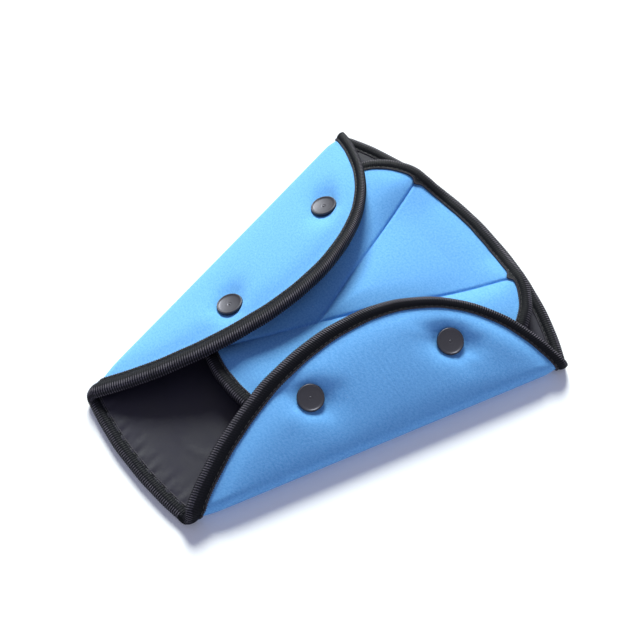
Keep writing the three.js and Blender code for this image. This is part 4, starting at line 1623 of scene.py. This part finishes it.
@dataclass
class Snap:
    """One press snap: cap with post, socket, stud and back, turned about its own axis."""

    seat: SnapSeat
    cap_radius: float = 7.2
    cap_seat: float = -1.4
    cap_rise: float = 1.7
    rim_inside: float = 6.0
    post: float = 2.0
    socket_radius: float = 5.6
    socket_height: float = 1.7
    stud_height: float = 0.8
    clear: float = 0.35
    segments: int = 56

    @property
    def socket_top(self) -> float:
        """Top of the socket, under the flap's lining."""
        return -self.seat.form.cloths.thick - self.clear

    @property
    def stud_top(self) -> float:
        """Top of the stud's flange, under the socket."""
        return self.socket_top - self.socket_height - self.clear

    @property
    def back_top(self) -> float:
        """Top of the back's flange, under the centre pad's lining."""
        stud_base = self.stud_top - self.stud_height
        return stud_base - self.clear - self.seat.form.cloths.thick - self.clear

    def cap_profile(self) -> list[tuple[float, float]]:
        """Half section of the cap, from the post's end to the middle of its face."""
        r, seat, top = self.cap_radius, self.cap_seat, self.cap_seat + self.cap_rise
        foot = self.socket_top - 0.9
        rim = [(r - 0.55, seat - 0.5), (r - 0.12, seat - 0.4), (r, seat), (r - 0.03, seat + 0.95)]
        roll = [(r - 0.2, top - 0.4), (r - 0.5, top - 0.2), (r - 0.8, top - 0.24)]
        dish = [(r - 1.0, top - 0.42), (r - 1.25, top - 0.6), (r - 2.1, top - 0.72)]
        face = [(r * 0.55, top - 0.85), (r * 0.36, top - 0.95)]
        face += [(r * 0.2, top - 1.0), (1.0, top - 1.0)]
        pip = [(0.9, top - 1.08), (0.7, top - 1.06), (0.55, top - 0.86), (0.3, top - 0.8)]
        stem = [(0.0, foot), (self.post, foot), (self.post, seat - 0.3), (self.post + 0.4, seat)]
        return [*stem, *rim, *roll, *dish, *face, *pip, (0.0, top - 0.79)]

    def socket_profile(self) -> list[tuple[float, float]]:
        """Half section of the socket, a ring round the post."""
        hollow, r = self.post + self.clear, self.socket_radius
        top, base = self.socket_top, self.socket_top - self.socket_height
        outer = [(r - 1.4, base), (r - 1.05, base + 0.12), (r - 0.9, base + 0.4)]
        flange = [(r - 0.2, top - 0.9), (r, top - 0.7), (r, top - 0.15), (r - 0.15, top)]
        return [(hollow + 0.15, base), *outer, *flange, (hollow, top), (hollow, base + 0.15)]

    def stud_profile(self) -> list[tuple[float, float]]:
        """Half section of the stud, a flange with a short head."""
        r, top, base = self.socket_radius, self.stud_top, self.stud_top - self.stud_height
        head = self.socket_top - 0.9 - self.clear
        flange = [(0.0, base), (r - 0.15, base), (r, base + 0.15), (r - 0.1, top - 0.15)]
        neck = [(r - 0.3, top), (1.75, top), (1.65, top + 0.2), (self.post, top + 0.7)]
        return [*flange, *neck, (self.post - 0.1, head - 0.2), (1.5, head), (0.0, head)]

    def back_profile(self) -> list[tuple[float, float]]:
        """Half section of the back, a flange with the post that holds the stud."""
        r, top = self.socket_radius, self.back_top
        tip = self.stud_top - self.stud_height - self.clear
        face = [(0.0, top - 0.9), (1.2, top - 0.92), (1.6, top - 0.8), (r - 1.5, top - 0.86)]
        rim = [(r - 0.6, top - 0.9), (r - 0.15, top - 0.65), (r, top - 0.4), (r - 0.1, top)]
        return [*face, *rim, (self.post, top), (self.post, tip - 0.2), (1.7, tip), (0.0, tip)]

    def turn(self, kind: str, profile: Sequence[tuple[float, float]]) -> bpy.types.Object:
        """Spins a half section about the snap's axis; faces outside rim_inside take material 1.

        Args:
            kind: which piece of the snap it is.
            profile: radius and height of each point; a ring's closes on itself.

        Returns:
            The new object.
        """
        bm = bmesh.new()
        verts = [bm.verts.new((r, 0.0, z)) for r, z in profile]
        ring = profile[0][0] > 0
        pairs = zip(verts, verts[1:] + verts[:1] if ring else verts[1:])
        edges = [bm.edges.new(pair) for pair in pairs]
        bmesh.ops.spin(
            bm, geom=[*verts, *edges], cent=(0, 0, 0), axis=(0, 0, 1), angle=2 * math.pi,
            steps=self.segments, use_merge=True,
        )
        bmesh.ops.remove_doubles(bm, verts=bm.verts[:], dist=1e-4)
        bmesh.ops.recalc_face_normals(bm, faces=bm.faces[:])
        for face in bm.faces:
            face.material_index = int(face.calc_center_median().xy.length > self.rim_inside)
        bmesh.ops.transform(bm, matrix=Matrix.Scale(MM, 4) @ self.seat.matrix, verts=bm.verts[:])
        return new_object(f"{kind}_{self.seat.name}", bm)

    def build(self, finishes: Finishes) -> None:
        """Makes the four pieces, with the rim's finish as their material 1."""
        for kind, profile in (
            ("cap", self.cap_profile()), ("socket", self.socket_profile()),
            ("stud", self.stud_profile()), ("back", self.back_profile()),
        ):
            piece = self.turn(f"{kind}_piece", profile)
            node = f"snap_{kind}_{self.seat.name}"
            finish_piece(piece, finishes.plastic, Slot.SNAP, [node])
            piece.data.materials.append(finishes.rim)


@dataclass(frozen=True)
class Lamp:
    """A broad far lamp: the way to it from the object, and how wide it looks in degrees."""

    name: str
    toward: tuple[float, float, float]
    energy: float
    colour: tuple[float, float, float]
    angle: float

    def build(self) -> None:
        """Adds the lamp, shining on the object."""
        light = bpy.data.lights.new(self.name, "SUN")
        light.energy, light.color = self.energy, self.colour
        light.angle = math.radians(self.angle)
        lamp = bpy.data.objects.new(self.name, light)
        way = Vector(self.toward).normalized()
        turn = way.to_track_quat("Z", "Y").to_matrix().to_4x4()
        lamp.matrix_world = Matrix.Translation(way) @ turn
        bpy.context.scene.collection.objects.link(lamp)


@dataclass(frozen=True)
class Studio:
    """Camera, pale floor, a broad key from the far left, a faint fill; distances in metres."""

    key: Lamp = Lamp("key", (-0.685, 0.45, 0.573), 5.25, (1.0, 1.07, 0.99), 22.0)
    fill: Lamp = Lamp("fill", (0.83, -0.5, 0.25), 0.3, (0.85, 0.93, 1.0), 70.0)
    sky: tuple[float, float, float] = (0.63, 0.68, 1.0)
    sky_strength: float = 0.35
    floor_colour: tuple[float, float, float] = (0.95, 0.94, 0.96)
    floor_glow: float = 0.06

    azimuth: float = 51.43
    elevation: float = 60.49
    roll: float = 0.67
    distance: float = 0.7914
    target: tuple[float, float, float] = (-0.00864, 0.0113, 0.0)
    lens: float = 82.6
    sensor: float = 36.0
    floor_size: float = 6.0

    def camera(self) -> None:
        """Sets the camera where the photograph's was."""
        a, e, r = (math.radians(v) for v in (self.azimuth, self.elevation, self.roll))
        back = Vector((math.sin(a) * math.cos(e), -math.cos(a) * math.cos(e), math.sin(e)))
        level = Vector((math.cos(a), math.sin(a), 0.0))
        upright = back.cross(level)
        right = level * math.cos(r) + upright * math.sin(r)
        axes = Matrix((right, back.cross(right), back)).transposed().to_4x4()
        lens = bpy.data.cameras.new("camera")
        lens.lens, lens.sensor_width = self.lens, self.sensor
        lens.clip_start, lens.clip_end = 0.01, 20.0
        camera = bpy.data.objects.new("camera", lens)
        camera.matrix_world = Matrix.Translation(Vector(self.target) + back * self.distance) @ axes
        bpy.context.scene.collection.objects.link(camera)
        bpy.context.scene.camera = camera

    def floor(self) -> None:
        """Adds the pale floor, which keeps the object's shadow."""
        bm = bmesh.new()
        bmesh.ops.create_grid(bm, x_segments=8, y_segments=8, size=self.floor_size / 2)
        floor = new_object("floor", bm)
        material = bpy.data.materials.new("white_floor")
        material.use_nodes = True
        bench = NodeBench(material.node_tree)
        shader = material.node_tree.nodes["Principled BSDF"]
        seen = bench.add("ShaderNodeLightPath")
        glow = bench.math("MULTIPLY", seen.outputs["Is Camera Ray"], self.floor_glow)
        bench.wire(
            shader, Base_Color=(*self.floor_colour, 1.0), Roughness=0.7, Specular_IOR_Level=0.2,
            Emission_Color=(0.95, 0.97, 1.0, 1.0), Emission_Strength=glow,
        )
        floor.data.materials.append(material)
        floor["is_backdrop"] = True

    def world(self) -> None:
        """Sets a soft sky that looks white to the camera and in reflections."""
        world = bpy.data.worlds.new("studio")
        bpy.context.scene.world = world
        world.use_nodes = True
        bench = NodeBench(world.node_tree)
        world.node_tree.nodes.clear()
        seen = bench.add("ShaderNodeLightPath")
        shown = bench.math("MAXIMUM", seen.outputs["Is Camera Ray"], seen.outputs["Is Glossy Ray"])
        shown = bench.math("MAXIMUM", shown, seen.outputs["Is Transmission Ray"])
        soft, white = (bench.add("ShaderNodeBackground") for _ in range(2))
        bench.wire(soft, Color=(*self.sky, 1.0), Strength=self.sky_strength)
        bench.wire(white, Color=(1.0, 1.0, 1.0, 1.0), Strength=1.0)
        mixed = bench.add("ShaderNodeMixShader")
        bench.feed(mixed.inputs[0], shown)
        bench.feed(mixed.inputs[1], soft.outputs[0])
        bench.feed(mixed.inputs[2], white.outputs[0])
        out = bench.add("ShaderNodeOutputWorld")
        bench.feed(out.inputs["Surface"], mixed.outputs[0])

    def build(self) -> None:
        """Sets the whole studio."""
        self.camera()
        self.key.build()
        self.fill.build()
        self.floor()
        self.world()
        bpy.context.scene.view_settings.view_transform = "Standard"


def write_sizes() -> None:
    """Measures the CAD box and the finished model's box as plain lists; nothing is written."""
    boxes = {"cad": CAD_BOX, "visual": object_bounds()}
    plain = {name: [list(corner) for corner in box] for name, box in boxes.items()}


def main() -> None:
    """Builds every part of the object and its studio."""
    logging.basicConfig(level=logging.INFO, format="%(message)s")
    finishes = Finishes()
    form = ShellForm()
    Studio().build()
    Shell(form).build(finishes)
    CentrePad(PadForm(form)).build(finishes)
    for seat in form.snaps:
        Snap(seat).build(finishes)
    write_sizes()


if __name__ == "__main__":
    main()
